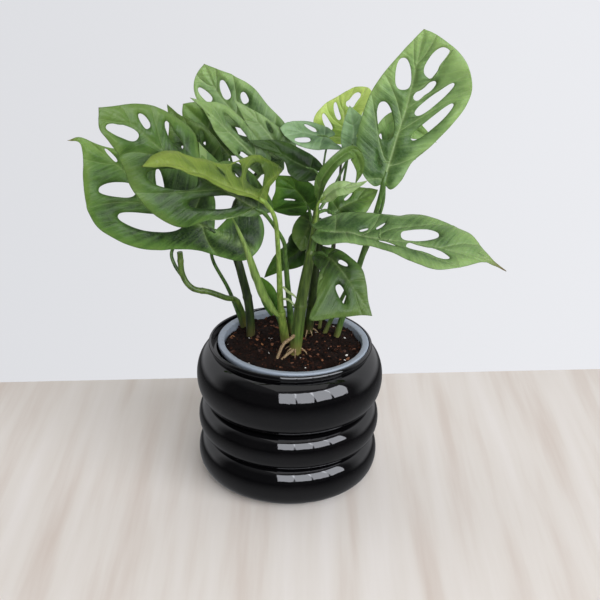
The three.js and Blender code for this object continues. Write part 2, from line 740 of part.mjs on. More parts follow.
    face: [[-0.1, -0.9, 0.4], [-0.1, -0.9, 0.4]],
    fold: [[0, 10], [0, 10]],
    curl: [[0, 0], [0, 0]],
    left: {
      margin: [[-6, 8], [8, 16], [30, 20], [52, 20], [70, 18], [83, 17], [91, 13], [97, 7]],
      holes: [[34, 6, 50, 12, 5], [73, 8, 86, 12, 6]],
    },
    right: {
      margin: [[-6, 8], [4, 17], [20, 21], [37, 22], [54, 25], [70, 23], [82, 18], [90, 13], [96, 6]],
      holes: [[52, 12, 62, 16, 6], [66, 4, 83, 8, 7]],
    },
    stalk: { path: [[-25, 19, 264], [-17, 23, 267]], radii: [1.8, 1.4] },
  },
  leaf_upper_left: {
    colour: 0x6a9455,
    rib: [[-26, 0, 274], [-46, -6, 295], [-64, -16, 316], [-79, -28, 332]],
    face: [[0.1, -0.8, 0.6], [0.1, -0.8, 0.6]],
    fold: [[0, 0], [0, 0]],
    curl: [[0, 0], [0, 0]],
    left: {
      margin: [[-4, 8], [14, 10], [30, 10], [42, 9], [52, 7], [62, 3], [71, 1]],
      holes: [[10, 3, 22, 7, 4]],
    },
    right: {
      margin: [[-4, 8], [8, 12], [20, 13], [34, 15], [48, 15], [60, 11], [70, 5]],
      holes: [[20, 5, 51, 8, 5]],
    },
    stalk: { path: [[-35, 14, 252], [-31, 8, 259], [-26, 3, 267]], radii: [1.8, 1.4] },
  },
  leaf_upper_middle: {
    colour: 0x6b9a4a,
    rib: [[-9, 18, 278], [-27, 22, 298], [-39, 22, 311], [-50, 20, 320]],
    face: [[0.1, -0.9, 0.4], [0.1, -0.9, 0.4]],
    fold: [[0, 0], [0, 0]],
    curl: [[0, 0], [0, 0]],
    left: { margin: [[-3, 6], [10, 11], [27, 10], [45, 6]], holes: [[14, 3, 24, 6, 0]] },
    right: { margin: [[-3, 6], [8, 11], [22, 9], [34, 6], [46, 2]], holes: [[18, 2.5, 28, 5, 3]] },
    stalk: { path: [[-30, 16, 260], [-20, 17, 264], [-11, 16, 271]], radii: [1.6, 1.2] },
  },
  leaf_back_left: {
    colour: 0x4a7640,
    rib: [[-54, 42, 267], [-73, 46, 289], [-92, 44, 309]],
    face: [[-0.1, -0.9, 0.4], [-0.1, -0.9, 0.4]],
    fold: [[0, 0], [0, 0]],
    curl: [[0, 0], [0, 0]],
    left: { margin: [[-4, 8], [10, 17], [28, 16], [44, 11], [52, 6]], holes: [[12, 4, 22, 10, 4]] },
    right: { margin: [[-4, 8], [10, 17], [28, 19], [43, 15], [52, 7]], holes: [[12, 4, 22, 9, 4]] },
    stalk: { path: [[-46, 18, 240], [-49, 30, 252]], radii: [1.5, 1.1] },
  },
  leaf_dark_middle: {
    colour: 0x35562c,
    rib: [[17, -4, 270], [1, -1, 276], [-18, -1, 287], [-37, -5, 294]],
    face: [[0, -0.85, 0.5], [0, -0.85, 0.5]],
    fold: [[0, 0], [0, 0]],
    curl: [[0, 0], [0, 0]],
    left: { margin: [[-4, 5], [10, 13], [30, 12], [50, 4]], holes: [[14, 3, 30, 8, 0]] },
    right: { margin: [[-4, 5], [10, 11], [30, 10], [50, 3]], holes: [[14, 2, 26, 6, 0]] },
    stalk: { path: [[19, -10, 244], [19, -7, 258]], radii: [1.3, 1] },
  },
  leaf_low_left: {
    colour: 0x2f4a2b,
    rib: [[-46, 22, 201], [-56, 26, 190], [-69, 26, 188]],
    face: [[-0.1, -0.6, 0.8], [-0.1, -0.6, 0.8]],
    fold: [[0, 0], [0, 0]],
    curl: [[0, 0], [0, 0]],
    left: { margin: [[-2, 4], [8, 7], [20, 4]], holes: [[8, 1, 14, 4, 0]] },
    right: { margin: [[-2, 4], [8, 8], [20, 5]], holes: [[8, 1, 14, 5, 0]] },
    stalk: { path: [[-46, 12, 198], [-45, 18, 200]], radii: [1.3, 1] },
  },
  leaf_low_small: {
    colour: 0x2f4f26,
    rib: [[-14, 8, 142], [-20, 11, 156], [-26, 11, 172]],
    face: [[-0.2, -0.9, 0.3], [-0.2, -0.9, 0.3]],
    fold: [[0, 0], [0, 0]],
    curl: [[0, 0], [0, 0]],
    left: { margin: [[-2, 4], [8, 7], [22, 6], [31, 2]], holes: [[8, 1, 14, 4, 0]] },
    right: { margin: [[-2, 4], [8, 8], [22, 7], [31, 2]], holes: [[8, 1, 14, 5, 0]] },
    stalk: { path: [[-4, 3, 122], [-9, 5, 132]], radii: [1.4, 1] },
  },
  leaf_low_back: {
    colour: 0x2f5230,
    rib: [[12, 26, 204], [3, 32, 187], [-10, 34, 177], [-24, 32, 163]],
    face: [[0, -0.7, 0.7], [0, -0.7, 0.7]],
    fold: [[0, 0], [0, 0]],
    curl: [[0, 0], [0, 0]],
    left: { margin: [[-3, 5], [8, 13], [26, 12], [46, 5]], holes: [[12, 3, 24, 7, 0]] },
    right: { margin: [[-3, 5], [8, 13], [26, 12], [46, 5]], holes: [[12, 3, 24, 7, 0]] },
    stalk: { path: [[20, 3, 190], [19, 12, 196], [16, 21, 201]], radii: [1.5, 1.1] },
  },
  leaf_curled_right: {
    colour: 0x4c7a2f,
    rib: [[72, 12, 258], [73, 22, 281], [83, 24, 302], [99, 20, 297], [112, 14, 291]],
    face: [[-0.3, -0.9, 0.2], [-0.3, -0.9, 0.2]],
    fold: [[20, 20], [20, 20]],
    curl: [[20, 20], [20, 20]],
    left: { margin: [[2, 4], [16, 11], [40, 14], [60, 9], [74, 3]], holes: [[20, 4, 36, 9, 4]] },
    right: { margin: [[2, 4], [16, 11], [40, 14], [60, 9], [74, 3]], holes: [[20, 4, 36, 9, 4]] },
    stalk: {
      path: [[28, 22, 91], [29, 20, 116], [57, 17, 186], [65, 13, 212], [72, 10, 240]],
      radii: [2.2, 1.5],
    },
  },
};

// Vine stems: places from root to tip, and the radius from root to tip.

const stems = {
  stem_main: {
    colour: 0x5d7330,
    path: [[3, -17, 91], [4, -16, 114], [8, -17, 162], [14, -15, 202], [17, -13, 224], [18, -11, 242]],
    radii: [5.2, 5.1, 4.7, 3.9, 2.4],
  },
  stem_young: {
    colour: 0x84a845,
    path: [[-3, 5, 91], [-4, 3, 114], [-7, -6, 140], [-8, -9, 151]],
    radii: [3.8, 3.8, 3.2],
  },
  stem_left: {
    colour: 0x33451f,
    path: [
      [-34, 13, 91], [-34, 13, 116], [-36, 12, 147], [-43, 11, 178], [-50, 14, 204],
      [-47, 16, 234], [-26, 16, 266],
    ],
    radii: [3.8, 3.7, 3.3, 2.4],
  },
  stem_cut: {
    colour: 0x5c7a33,
    path: [
      [-36, 34, 92], [-38, 32, 114], [-46, 24, 143], [-56, 17, 150], [-69, 12, 157],
      [-83, 8, 162], [-91, 8, 174], [-93, 8, 194],
    ],
    radii: [2.6, 2.4, 2.4, 2.4],
  },
  stem_right: {
    colour: 0x3d5f2b,
    path: [[15, 23, 91], [15, 22, 114], [18, 10, 159], [20, 2, 193], [24, 0, 222]],
    radii: [4, 3.8, 2.6],
  },
};

// The rolled new leaf, the cane that props the plant, and the roots that the main stem sends to the soil.

const rolledLeaf = {
  path: [
    [-9, -9, 146], [-14, -11, 151], [-19, -12, 159], [-25, -14, 171], [-34, -19, 201],
    [-38, -20, 213], [-48, -24, 237],
  ],
  radii: [1.6, 3, 3.7, 3.3, 2.8, 2.2, 1.4, 0.5],
};
const cane = { path: [[34, 34, 91], [35, 34, 182], [38, 34, 277]], radii: [1, 1] };
const aerialRoots = [
  {
    path: [[6, -18, 136], [0, -22, 132], [-6, -26, 128], [-11, -31, 116], [-13, -33, 106]],
    radii: [1.6, 1.1],
  },
  {
    path: [[5, -18, 122], [0, -23, 120], [-6, -29, 117], [-10, -34, 113], [-12, -36, 105]],
    radii: [1.3, 0.9],
  },
];

// Building the plant.

function stemSolid({ path, radii }, extra, fineness) {
  return toSolid(limb(through(path), radii.map((radius) => radius + extra), fineness));
}

function stalkSolid(leaf, extra) {
  const blade = new Blade(leaf);
  const under = blade.face[0].clone().normalize().multiplyScalar(STALK_SINK);
  const joint = blade.bent(0, 0).sub(under).toArray();
  const end = blade.bent(STALK_REACH, 0).sub(under).toArray();
  return stemSolid({ path: [...leaf.stalk.path, joint, end], radii: leaf.stalk.radii }, extra, STALK);
}

const stemNames = Object.keys(stems);
const stemRooms = stemNames.map((name) => stemSolid(stems[name], HOLE_ROOM, STEM));

stemNames.forEach((name) => {
  let body = stemSolid(stems[name], 0, STEM);
  if (name === "stem_main") {
    aerialRoots.forEach((root) => {
      body = body.add(stemSolid(root, 0, ROOT));
    });
  }
  add(name, toGeometry(body), stems[name].colour, 0.5);
});

const youngRoom = stemRooms[stemNames.indexOf("stem_young")];
add("leaf_rolled", toGeometry(stemSolid(rolledLeaf, 0, ROLL).subtract(youngRoom)), 0x9cc35a, 0.45);
add("cane", toGeometry(stemSolid(cane, 0, CANE)), 0x3a3a2c, 0.6);

Object.entries(leaves).forEach(([name, leaf]) => {
  let solid = bladeSolid(leaf).add(stalkSolid(leaf, 0));
  stemRooms.forEach((room) => {
    solid = solid.subtract(room);
  });
  add(name, toGeometry(solid), leaf.colour, 0.45);
});

// Potting soil: a plug with a low crumbled top, and plain holes where the stems and stalks stand in it.

function crumbled(x, y) {
  const lumps = SOIL_LUMPS.map(({ height, runs, starts }) => {
    return height * Math.sin(x / runs[0] + starts[0]) * Math.sin(y / runs[1] + starts[1]);
  });
  const drop = SOIL_RIM_DROP * (Math.hypot(x, y) / SOIL_RADIUS) ** 4;
  return SOIL_TOP + lumps[0] + lumps[1] - drop;
}

function soilPlug() {
  const positions = [0, 0, SOIL_FLOOR, 0, 0, crumbled(0, 0)];
  const index = [];
  // Each ring is turned by half a step from the last.
  const spot = (radius, ring, side) => {
    const angle = (2 * Math.PI * (side + (ring % 2) / 2)) / SOIL_SIDES;
    return [radius * Math.cos(angle), radius * Math.sin(angle)];
  };
  for (let ring = 1; ring <= SOIL_RINGS; ring += 1) {
    for (let side = 0; side < SOIL_SIDES; side += 1) {
      const [x, y] = spot((SOIL_RADIUS * ring) / SOIL_RINGS, ring, side);
      positions.push(x, y, crumbled(x, y));
    }
  }
  const foot = positions.length / 3;
  for (let side = 0; side < SOIL_SIDES; side += 1) {
    positions.push(...spot(SOIL_FOOT_RADIUS, SOIL_RINGS, side), SOIL_FLOOR);
  }
  for (let side = 0; side < SOIL_SIDES; side += 1) {
    const next = (side + 1) % SOIL_SIDES;
    index.push(1, 2 + side, 2 + next);
    for (let ring = 0; ring < SOIL_RINGS - 1; ring += 1) {
      const low = 2 + ring * SOIL_SIDES;
      const high = low + SOIL_SIDES;
      const [a, b, c, d] = [low + side, low + next, high + side, high + next];
      if (ring % 2 === 0) index.push(a, d, b, a, c, d);
      else index.push(a, c, b, b, c, d);
    }
    const rim = 2 + (SOIL_RINGS - 1) * SOIL_SIDES;
    index.push(rim + side, foot + side, rim + next, rim + next, foot + side, foot + next);
    index.push(0, foot + next, foot + side);
  }
  return fromLists(positions, index).translate(LINER_SHIFT, 0, 0);
}

const rootedStalks = Object.values(leaves).filter((leaf) => leaf.stalk.path[0][2] < SOIL_TOP);
const soilRooms = [
  ...stemRooms,
  ...rootedStalks.map((leaf) => stalkSolid(leaf, HOLE_ROOM)),
  ...aerialRoots.map((root) => stemSolid(root, HOLE_ROOM, ROOT)),
  stemSolid(cane, HOLE_ROOM, CANE),
];
const soil = soilRooms.reduce((left, room) => left.subtract(room), toSolid(soilPlug()));
add("potting_soil", toGeometry(soil), 0x3a241a, 0.95);

export default plant;
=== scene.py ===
# %% [markdown]
# # A swiss cheese vine in a glazed pot
# The plant has four kinds of part: turned pots, loose soil, round stems and flat leaves with holes.
# The CAD model already holds every piece at its real size. This lesson swaps each piece for a finer
# one of the same form, then gives it a finish. Lengths in the tables are millimetres.

# %% Load the frame
import math

import bpy
import numpy as np
from mathutils import Matrix, Vector, noise


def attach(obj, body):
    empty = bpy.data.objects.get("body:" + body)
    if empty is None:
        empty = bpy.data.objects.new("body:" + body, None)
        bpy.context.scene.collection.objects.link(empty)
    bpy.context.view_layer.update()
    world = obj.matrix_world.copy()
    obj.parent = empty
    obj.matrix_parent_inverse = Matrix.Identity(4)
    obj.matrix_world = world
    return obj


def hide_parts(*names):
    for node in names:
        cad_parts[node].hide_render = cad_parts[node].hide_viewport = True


MM = 0.001
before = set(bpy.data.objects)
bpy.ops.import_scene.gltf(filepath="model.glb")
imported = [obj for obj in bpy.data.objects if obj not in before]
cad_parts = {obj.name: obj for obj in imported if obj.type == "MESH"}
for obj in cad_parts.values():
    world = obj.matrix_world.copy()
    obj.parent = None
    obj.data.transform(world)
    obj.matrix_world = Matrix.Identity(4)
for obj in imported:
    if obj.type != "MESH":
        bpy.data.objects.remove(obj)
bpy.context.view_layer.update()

# %% [markdown]
# ## Camera
# A plant is judged by its silhouette, so the view is fixed first. The lens is a short telephoto, and the
# camera stands to the front, looking down on the rim of the pot. The rim isn't at the middle of the
# picture, so the camera is turned in small steps until the rim's middle lands on its own pixel.

# %% Aim the camera
LENS = 66
SENSOR = 36
PICTURE = 600
RIM_MIDDLE = Vector((0, 0, 121 * MM))
RIM_PIXEL = (290.4, 338.9)
CAMERA_DISTANCE = 930 * MM
CAMERA_RISE = math.radians(26.1)
CAMERA_ROLL = math.radians(1.7)
AIM_STEPS = 20


def add_object(name, data):
    obj = bpy.data.objects.new(name, data)
    bpy.context.scene.collection.objects.link(obj)
    return obj


def aim_camera():
    data = bpy.data.cameras.new("camera")
    data.lens = LENS
    data.sensor_width = SENSOR
    camera = add_object("camera", data)
    back = Vector((0, -math.cos(CAMERA_RISE), math.sin(CAMERA_RISE)))
    camera.location = RIM_MIDDLE + CAMERA_DISTANCE * back
    focal = PICTURE * LENS / SENSOR
    wanted = Vector((RIM_PIXEL[0] - PICTURE / 2, PICTURE / 2 - RIM_PIXEL[1])) / focal
    ahead = -back
    for _ in range(AIM_STEPS):
        right = ahead.cross(Vector((0, 0, 1))).normalized()
        level = Matrix((right, right.cross(ahead), -ahead)).transposed()
        turned = level @ Matrix.Rotation(CAMERA_ROLL, 3, "Z")
        seen = turned.transposed() @ (RIM_MIDDLE - camera.location)
        miss = Vector((seen.x / -seen.z, seen.y / -seen.z)) - wanted
        ahead = (ahead + turned.col[0] * miss.x + turned.col[1] * miss.y).normalized()
    camera.rotation_euler = turned.to_euler()
    bpy.context.scene.camera = camera
    return camera, miss.length * focal


camera, miss = aim_camera()
print(f"camera at {[round(v / MM) for v in camera.location]} mm, rim off by {miss:.4f} pixels")

# %% [markdown]
# ## Nodes and colours
# Every material and every Geometry Nodes tree below is wired by one small function. It makes a node,
# sets its options, and gives each input a value or a link. A whole node may be given where its first
# output in use is meant. Colours are written as sRGB hex, the way a paint chart gives them, and one
# function turns them into the linear values that Blender mixes.

# %% Colour and node helpers
def srgb(code):
    channels = [int(code[place:place + 2], 16) / 255 for place in (1, 3, 5)]
    return tuple(c / 12.92 if c <= 0.04045 else ((c + 0.055) / 1.055) ** 2.4 for c in channels) + (1,)


def feed(tree, node, inputs):
    """Gives a node's inputs, by name or in order, a value or a link."""
    for name, value in inputs.items() if isinstance(inputs, dict) else enumerate(inputs):
        if isinstance(value, bpy.types.Node):
            value = next(socket for socket in value.outputs if socket.enabled)
        if isinstance(value, bpy.types.NodeSocket):
            tree.links.new(value, node.inputs[name])
        else:
            node.inputs[name].default_value = value


def add_node(tree, kind, inputs=(), stops=(), **settings):
    """A node with its options and inputs. A colour ramp also takes stops, as (position, hex)."""
    node = tree.nodes.new(kind)
    for name, value in settings.items():
        setattr(node, name, value)
    if stops:
        elements = node.color_ramp.elements
        while len(elements) < len(stops):
            elements.new(1)
        for element, (position, code) in zip(elements, stops):
            element.position = position
            element.color = srgb(code)
    feed(tree, node, inputs)
    return node


print("mid green is", [round(c, 3) for c in srgb("#4f7f42")])

# %% [markdown]
# ## Studio
# A glazed pot shows little of its own colour and much of the room, so the lights are part of its look.
# One wide window stands to the front right, in four panes that leave dark bars in the glaze. It is well
# away from the table, so that its light is even there. A soft box overhead opens the shadows among the
# leaves. The room is dim in front and pale behind, which keeps the glaze black and gives it a grey edge,
# and glossy rays miss the floor for the same reason. The view transform is plain, so a colour code
# means that colour.

# %% Light the studio
LOOK_AT = Vector((0, 0, 0.16))
PANE_AZIMUTHS = (-2, 20, 42, 64)
PANES = dict(rise=24, distance=4, size=(1.43, 2.66), power=61, tint="#f4f7ff")
OVERHEAD = dict(azimuth=20, rise=82, distance=1.5, size=(1.6, 1.6), power=4)
bpy.context.scene.view_settings.view_transform = "Standard"


def area_light(name, azimuth, rise, distance, size, power, tint="#ffffff"):
    """A rectangle of light that faces the plant. Azimuth 0 is the front, and 90 the right."""
    data = bpy.data.lights.new(name, "AREA")
    data.shape = "RECTANGLE"
    data.size, data.size_y = size
    data.energy = power
    data.color = srgb(tint)[:3]
    light = add_object(name, data)
    a, r = math.radians(azimuth), math.radians(rise)
    away = Vector((math.sin(a) * math.cos(r), -math.cos(a) * math.cos(r), math.sin(r)))
    light.location = LOOK_AT + distance * away
    light.rotation_euler = away.to_track_quat("Z", "Y").to_euler()
    return light


for place, azimuth in enumerate(PANE_AZIMUTHS):
    area_light(f"window_pane_{place}", azimuth, **PANES)
area_light("overhead_box", **OVERHEAD)

# %% Background and floor
FLOOR_EDGE_Y = 161 * MM
FLOOR_EDGE_TURN = math.radians(5.8)
FLOOR_SIZE, FLOOR_DEPTH = 2.4, 2.0
# How the light of the room runs: the axis (0 right, 1 away, 2 up), from, to, and the level at each.
ROOM_SHADES = {
    "wall": (1, -0.2, 0.3, 0.07, 0.85), "above": (2, -0.3, 0.0, 0, 1), "ceiling": (2, 0.3, 0.9, 0, 0.24),
    "ground": (2, -0.75, 0.0, 0.3, 0), "backdrop": (0, -0.4, 0.4, 0.93, 1.08),
}


def soft_world():
    """A room that is dim in front and pale behind. The backdrop itself only pales to the right."""
    world = bpy.data.worlds.new("pale_room")
    world.use_nodes = True
    tree = world.node_tree
    way = add_node(tree, "ShaderNodeTexCoord").outputs["Generated"]
    split = add_node(tree, "ShaderNodeSeparateXYZ", [way]).outputs
    shade = {}
    for part, (axis, *levels) in ROOM_SHADES.items():
        inputs = [split[axis], *levels]
        shade[part] = add_node(tree, "ShaderNodeMapRange", inputs, interpolation_type="SMOOTHSTEP")
    room = shade["wall"]
    for part, operation in (("above", "MULTIPLY"), ("ceiling", "MAXIMUM"), ("ground", "MAXIMUM")):
        room = add_node(tree, "ShaderNodeMath", [room, shade[part]], operation=operation)
    seen = add_node(tree, "ShaderNodeLightPath").outputs["Is Camera Ray"]
    inputs = {0: seen, 2: room, 3: shade["backdrop"]}
    level = add_node(tree, "ShaderNodeMix", inputs, data_type="FLOAT")
    feed(tree, tree.nodes["Background"], {"Color": srgb("#e4e5e9"), "Strength": level})
    bpy.context.scene.world = world


def pale_board():
    """The floor: a board whose back edge runs behind the pot, a little askew. The glaze mirrors the
    room's darker ground instead of it, so that the pot stays black."""
    mesh = bpy.data.meshes.new("floor")
    corners = [(-FLOOR_SIZE, -FLOOR_DEPTH), (FLOOR_SIZE, -FLOOR_DEPTH), (FLOOR_SIZE, 0), (-FLOOR_SIZE, 0)]
    turn = Matrix.Rotation(FLOOR_EDGE_TURN, 3, "Z")
    places = [turn @ Vector((x, y, 0)) + Vector((0, FLOOR_EDGE_Y, 0)) for x, y in corners]
    mesh.from_pydata([tuple(place) for place in places], [], [(0, 1, 2, 3)])
    floor = add_object("floor", mesh)
    floor.visible_glossy = False
    return floor


soft_world()
floor = pale_board()

# %% [markdown]
# ## Finishes
# Each finish starts from what the real thing is made of, and its pattern from a real length. One helper
# opens a material with its shader, and another lays a noise of a given length over it. What is the same
# all over goes straight on the shader's own sockets, and fine relief is a bump with a depth in
# millimetres.

# %% Material helpers
def new_material(name):
    material = bpy.data.materials.new(name)
    material.use_nodes = True
    return material, material.node_tree, material.node_tree.nodes["Principled BSDF"]


def object_noise(tree, length_mm, detail=3.0, stretch=(1, 1, 1)):
    """Noise on Object coordinates whose lumps are about length_mm long."""
    place = add_node(tree, "ShaderNodeTexCoord").outputs["Object"]
    sized = add_node(tree, "ShaderNodeMapping", {"Vector": place, "Scale": stretch})
    inputs = {"Vector": sized, "Scale": 1 / (length_mm * MM), "Detail": detail}
    return add_node(tree, "ShaderNodeTexNoise", inputs)


# %% Glaze, plastic and board
def black_glaze():
    # Stoneware under a thick black glaze. The glaze ran a little as it melted, so it is not quite flat,
    # and small pits were left where gas came out of it.
    material, tree, shader = new_material("black_stoneware_glaze")
    stops = [(0.3, "#030304"), (0.7, "#070607")]
    colour = add_node(tree, "ShaderNodeValToRGB", [object_noise(tree, 22, 2)], stops)
    run = object_noise(tree, 9, 1.5, (1, 1, 1.8))
    flow = add_node(tree, "ShaderNodeBump", {"Height": run, "Distance": 0.08 * MM})
    stops = [(0.0, "#000000"), (0.28, "#ffffff")]
    pits = add_node(tree, "ShaderNodeValToRGB", [object_noise(tree, 1.2, 0)], stops)
    bump = add_node(tree, "ShaderNodeBump", {"Height": pits, "Distance": 0.01 * MM, "Normal": flow})
    feed(tree, shader, {"Base Color": colour, "Normal": bump, "Roughness": 0.04, "IOR": 1.62})
    return material


def grey_polypropylene():
    # Thin moulded polypropylene, satin from the mould, with a dusting of soil near its inner edge.
    material, tree, shader = new_material("grey_polypropylene")
    stops = [(0.55, "#8f98a2"), (0.78, "#756b62")]
    dust = add_node(tree, "ShaderNodeValToRGB", [object_noise(tree, 3.5, 4)], stops)
    near = add_node(tree, "ShaderNodeAttribute", attribute_name="inner").outputs["Fac"]
    share = add_node(tree, "ShaderNodeMath", [near, 0.9], operation="MULTIPLY")
    inputs = {0: share, 6: srgb("#939ca6"), 7: dust}
    colour = add_node(tree, "ShaderNodeMix", inputs, data_type="RGBA")
    grain = object_noise(tree, 0.6, 2)
    bump = add_node(tree, "ShaderNodeBump", {"Height": grain, "Distance": 0.02 * MM})
    feed(tree, shader, {"Base Color": colour, "Normal": bump, "Roughness": 0.42, "IOR": 1.49})
    return material


def pale_limed_board():
    # A plain pale board, seen only as a soft ground.
    material, tree, shader = new_material("pale_limed_board")
    grain = object_noise(tree, 60, 6, (2.6, 0.16, 1))
    stops = [(0.3, "#d0c3b7"), (0.5, "#dcd4ca"), (0.7, "#e2dbd3")]
    colour = add_node(tree, "ShaderNodeValToRGB", [grain], stops)
    feed(tree, shader, {"Base Color": colour, "Roughness": 0.7, "IOR": 1.2})
    return material


GLAZE = black_glaze()
PLASTIC = grey_polypropylene()
floor.data.materials.append(pale_limed_board())
print("finishes:", GLAZE.name, PLASTIC.name)

# %% [markdown]
# ## Turned pots
# Both pots are bodies of revolution: the glazed pot was thrown on a wheel, and the grey one moulded.
# A Spin modifier or the Screw tool would do, but Geometry Nodes keep the rule in view. A flat grid has
# one row for each point of the profile and one column for each facet, and every grid point is moved to
# its radius, angle and height. A little noise on the radius stands for the maker's hand.

# %% Geometry Nodes helpers
def new_tree(name, inputs):
    """A Geometry Nodes tree that takes and gives geometry, with named inputs of (kind, default)."""
    tree = bpy.data.node_groups.new(name, "GeometryNodeTree")
    tree.interface.new_socket("Geometry", in_out="INPUT", socket_type="NodeSocketGeometry")
    for label, (kind, default) in inputs.items():
        socket = tree.interface.new_socket(label, in_out="INPUT", socket_type="NodeSocket" + kind)
        if default is not None:
            socket.default_value = default
    tree.interface.new_socket("Geometry", in_out="OUTPUT", socket_type="NodeSocketGeometry")
    return tree, add_node(tree, "NodeGroupInput").outputs


def end_tree(tree, geometry, finish):
    """Every tree ends alike: real geometry, then its material."""
    real = add_node(tree, "GeometryNodeRealizeInstances", {"Geometry": geometry})
    done = add_node(tree, "GeometryNodeSetMaterial", {"Geometry": real, "Material": finish})
    add_node(tree, "NodeGroupOutput", {"Geometry": done})


def grow(name, source, tree, **values):
    """A plain mesh object: the source mesh as the tree makes it."""
    seed = add_object(name, source)
    modifier = seed.modifiers.new("rule", "NODES")
    modifier.node_group = tree
    for item in tree.interface.items_tree:
        key = item.name.replace(" ", "_").lower()
        if item.in_out == "INPUT" and key in values:
            modifier[item.identifier] = values[key]
    depsgraph = bpy.context.evaluated_depsgraph_get()
    made = seed.evaluated_get(depsgraph)
    mesh = bpy.data.meshes.new_from_object(made, preserve_all_data_layers=True, depsgraph=depsgraph)
    mesh.name = name
    seed.modifiers.remove(modifier)
    seed.data = mesh
    return seed


def path_mesh(name, points):
    """A polyline as a mesh of points and edges, for a tree to read."""
    mesh = bpy.data.meshes.new(name)
    mesh.from_pydata([tuple(point) for point in points], [(i, i + 1) for i in range(len(points) - 1)], [])
    return mesh


def mark(mesh, label, values):
    """A number for each point of a mesh, for a tree or a finish to read."""
    values = np.asarray(values, np.float32)
    mesh.attributes.new(label, "FLOAT", "POINT").data.foreach_set("value", values)


def wear(piece, node):
    """The piece stands for a CAD node, whose own mesh is hidden, and rides on the one body."""
    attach(piece, "root")
    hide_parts(node)
    triangles = sum(len(face.vertices) - 2 for face in piece.data.polygons)
    print(f"{piece.name}: {triangles} triangles")


# %% The turning tree
WANDER_LUMPS, SEAM_GAP = 1.6, 0.01


def turning_tree():
    sizes = {"Facets": ("Int", 128), "Wander": ("Float", 0.0), "Middle": ("Vector", (0, 0, 0))}
    tree, given = new_tree("turned_on_a_wheel", {**sizes, "Finish": ("Material", None)})
    count = add_node(tree, "GeometryNodeAttributeDomainSize", {"Geometry": given["Geometry"]})
    columns = add_node(tree, "ShaderNodeMath", [given["Facets"], 1], operation="ADD")
    grid = add_node(tree, "GeometryNodeMeshGrid", {"Vertices X": count, "Vertices Y": columns})
    place = add_node(tree, "GeometryNodeInputPosition")
    across = add_node(tree, "ShaderNodeSeparateXYZ", [place]).outputs
    # Which point of the profile, and which way round.
    last = add_node(tree, "ShaderNodeMath", [count, 1], operation="SUBTRACT")
    row = across[0]
    for operation, value in (("ADD", 0.5), ("MULTIPLY", last), ("ROUND", 0)):
        row = add_node(tree, "ShaderNodeMath", [row, value], operation=operation)
    inputs = {"Geometry": given["Geometry"], "Value": place, "Index": row}
    spot = add_node(tree, "GeometryNodeSampleIndex", inputs, data_type="FLOAT_VECTOR")
    profile = add_node(tree, "ShaderNodeSeparateXYZ", [spot]).outputs
    angle = add_node(tree, "ShaderNodeMath", [across[1], 0.5], operation="ADD")
    angle = add_node(tree, "ShaderNodeMath", [angle, 2 * math.pi], operation="MULTIPLY")
    cosine = add_node(tree, "ShaderNodeMath", [angle], operation="COSINE")
    sine = add_node(tree, "ShaderNodeMath", [angle], operation="SINE")
    # The radius, out of true by a little.
    way = add_node(tree, "ShaderNodeCombineXYZ", [cosine, sine, profile[2]])
    inputs = {"Vector": way, "Scale": WANDER_LUMPS, "Detail": 1.0}
    radius = add_node(tree, "ShaderNodeTexNoise", inputs)
    steps = [("SUBTRACT", 0.5), ("MULTIPLY", given["Wander"]), ("ADD", 1), ("MULTIPLY", profile[0])]
    for operation, value in steps:
        radius = add_node(tree, "ShaderNodeMath", [radius, value], operation=operation)
    parts = (cosine, sine)
    x, y = (add_node(tree, "ShaderNodeMath", [radius, part], operation="MULTIPLY") for part in parts)
    spun = add_node(tree, "ShaderNodeCombineXYZ", [x, y, profile[2]])
    where = add_node(tree, "ShaderNodeVectorMath", [spun, given["Middle"]], operation="ADD")
    shaped = add_node(tree, "GeometryNodeSetPosition", {"Geometry": grid, "Position": where})
    closed = add_node(tree, "GeometryNodeMergeByDistance", {"Geometry": shaped, "Distance": SEAM_GAP * MM})
    smooth = add_node(tree, "GeometryNodeSetShadeSmooth", {"Geometry": closed})
    end_tree(tree, smooth, given["Finish"])
    return tree


TURNING = turning_tree()
print("turning tree:", len(TURNING.nodes), "nodes")

# %% [markdown]
# ## Glazed pot
# The outside is three swelling rings, the top one tallest, under a short neck and a rolled rim. Each
# ring is one formula: a cosine raised to a power just under one, which is fuller than a circle and
# meets its neighbour in a tight crease. Straight walls inside carry the weight down to the floor.

# %% Glazed pot
POT_HEIGHT, RIM_RADIUS, FOOT_RADIUS = 121, 69, 60
RIM_WALL, POT_WALL, FLOOR_THICKNESS = 2.6, 4.5, 6
RINGS = [
    {"middle": 19.2, "radius": 77.4, "half": 17.6, "core": 64},
    {"middle": 51.3, "radius": 77.4, "half": 15.2, "core": 66},
    {"middle": 90.4, "radius": 79, "half": 25, "core": 60},
]
RING_FULLNESS = 0.8
RING_STEPS, RIM_STEPS, CURVE_STEPS = 40, 30, 60
TURNED_EDGE = math.radians(50)


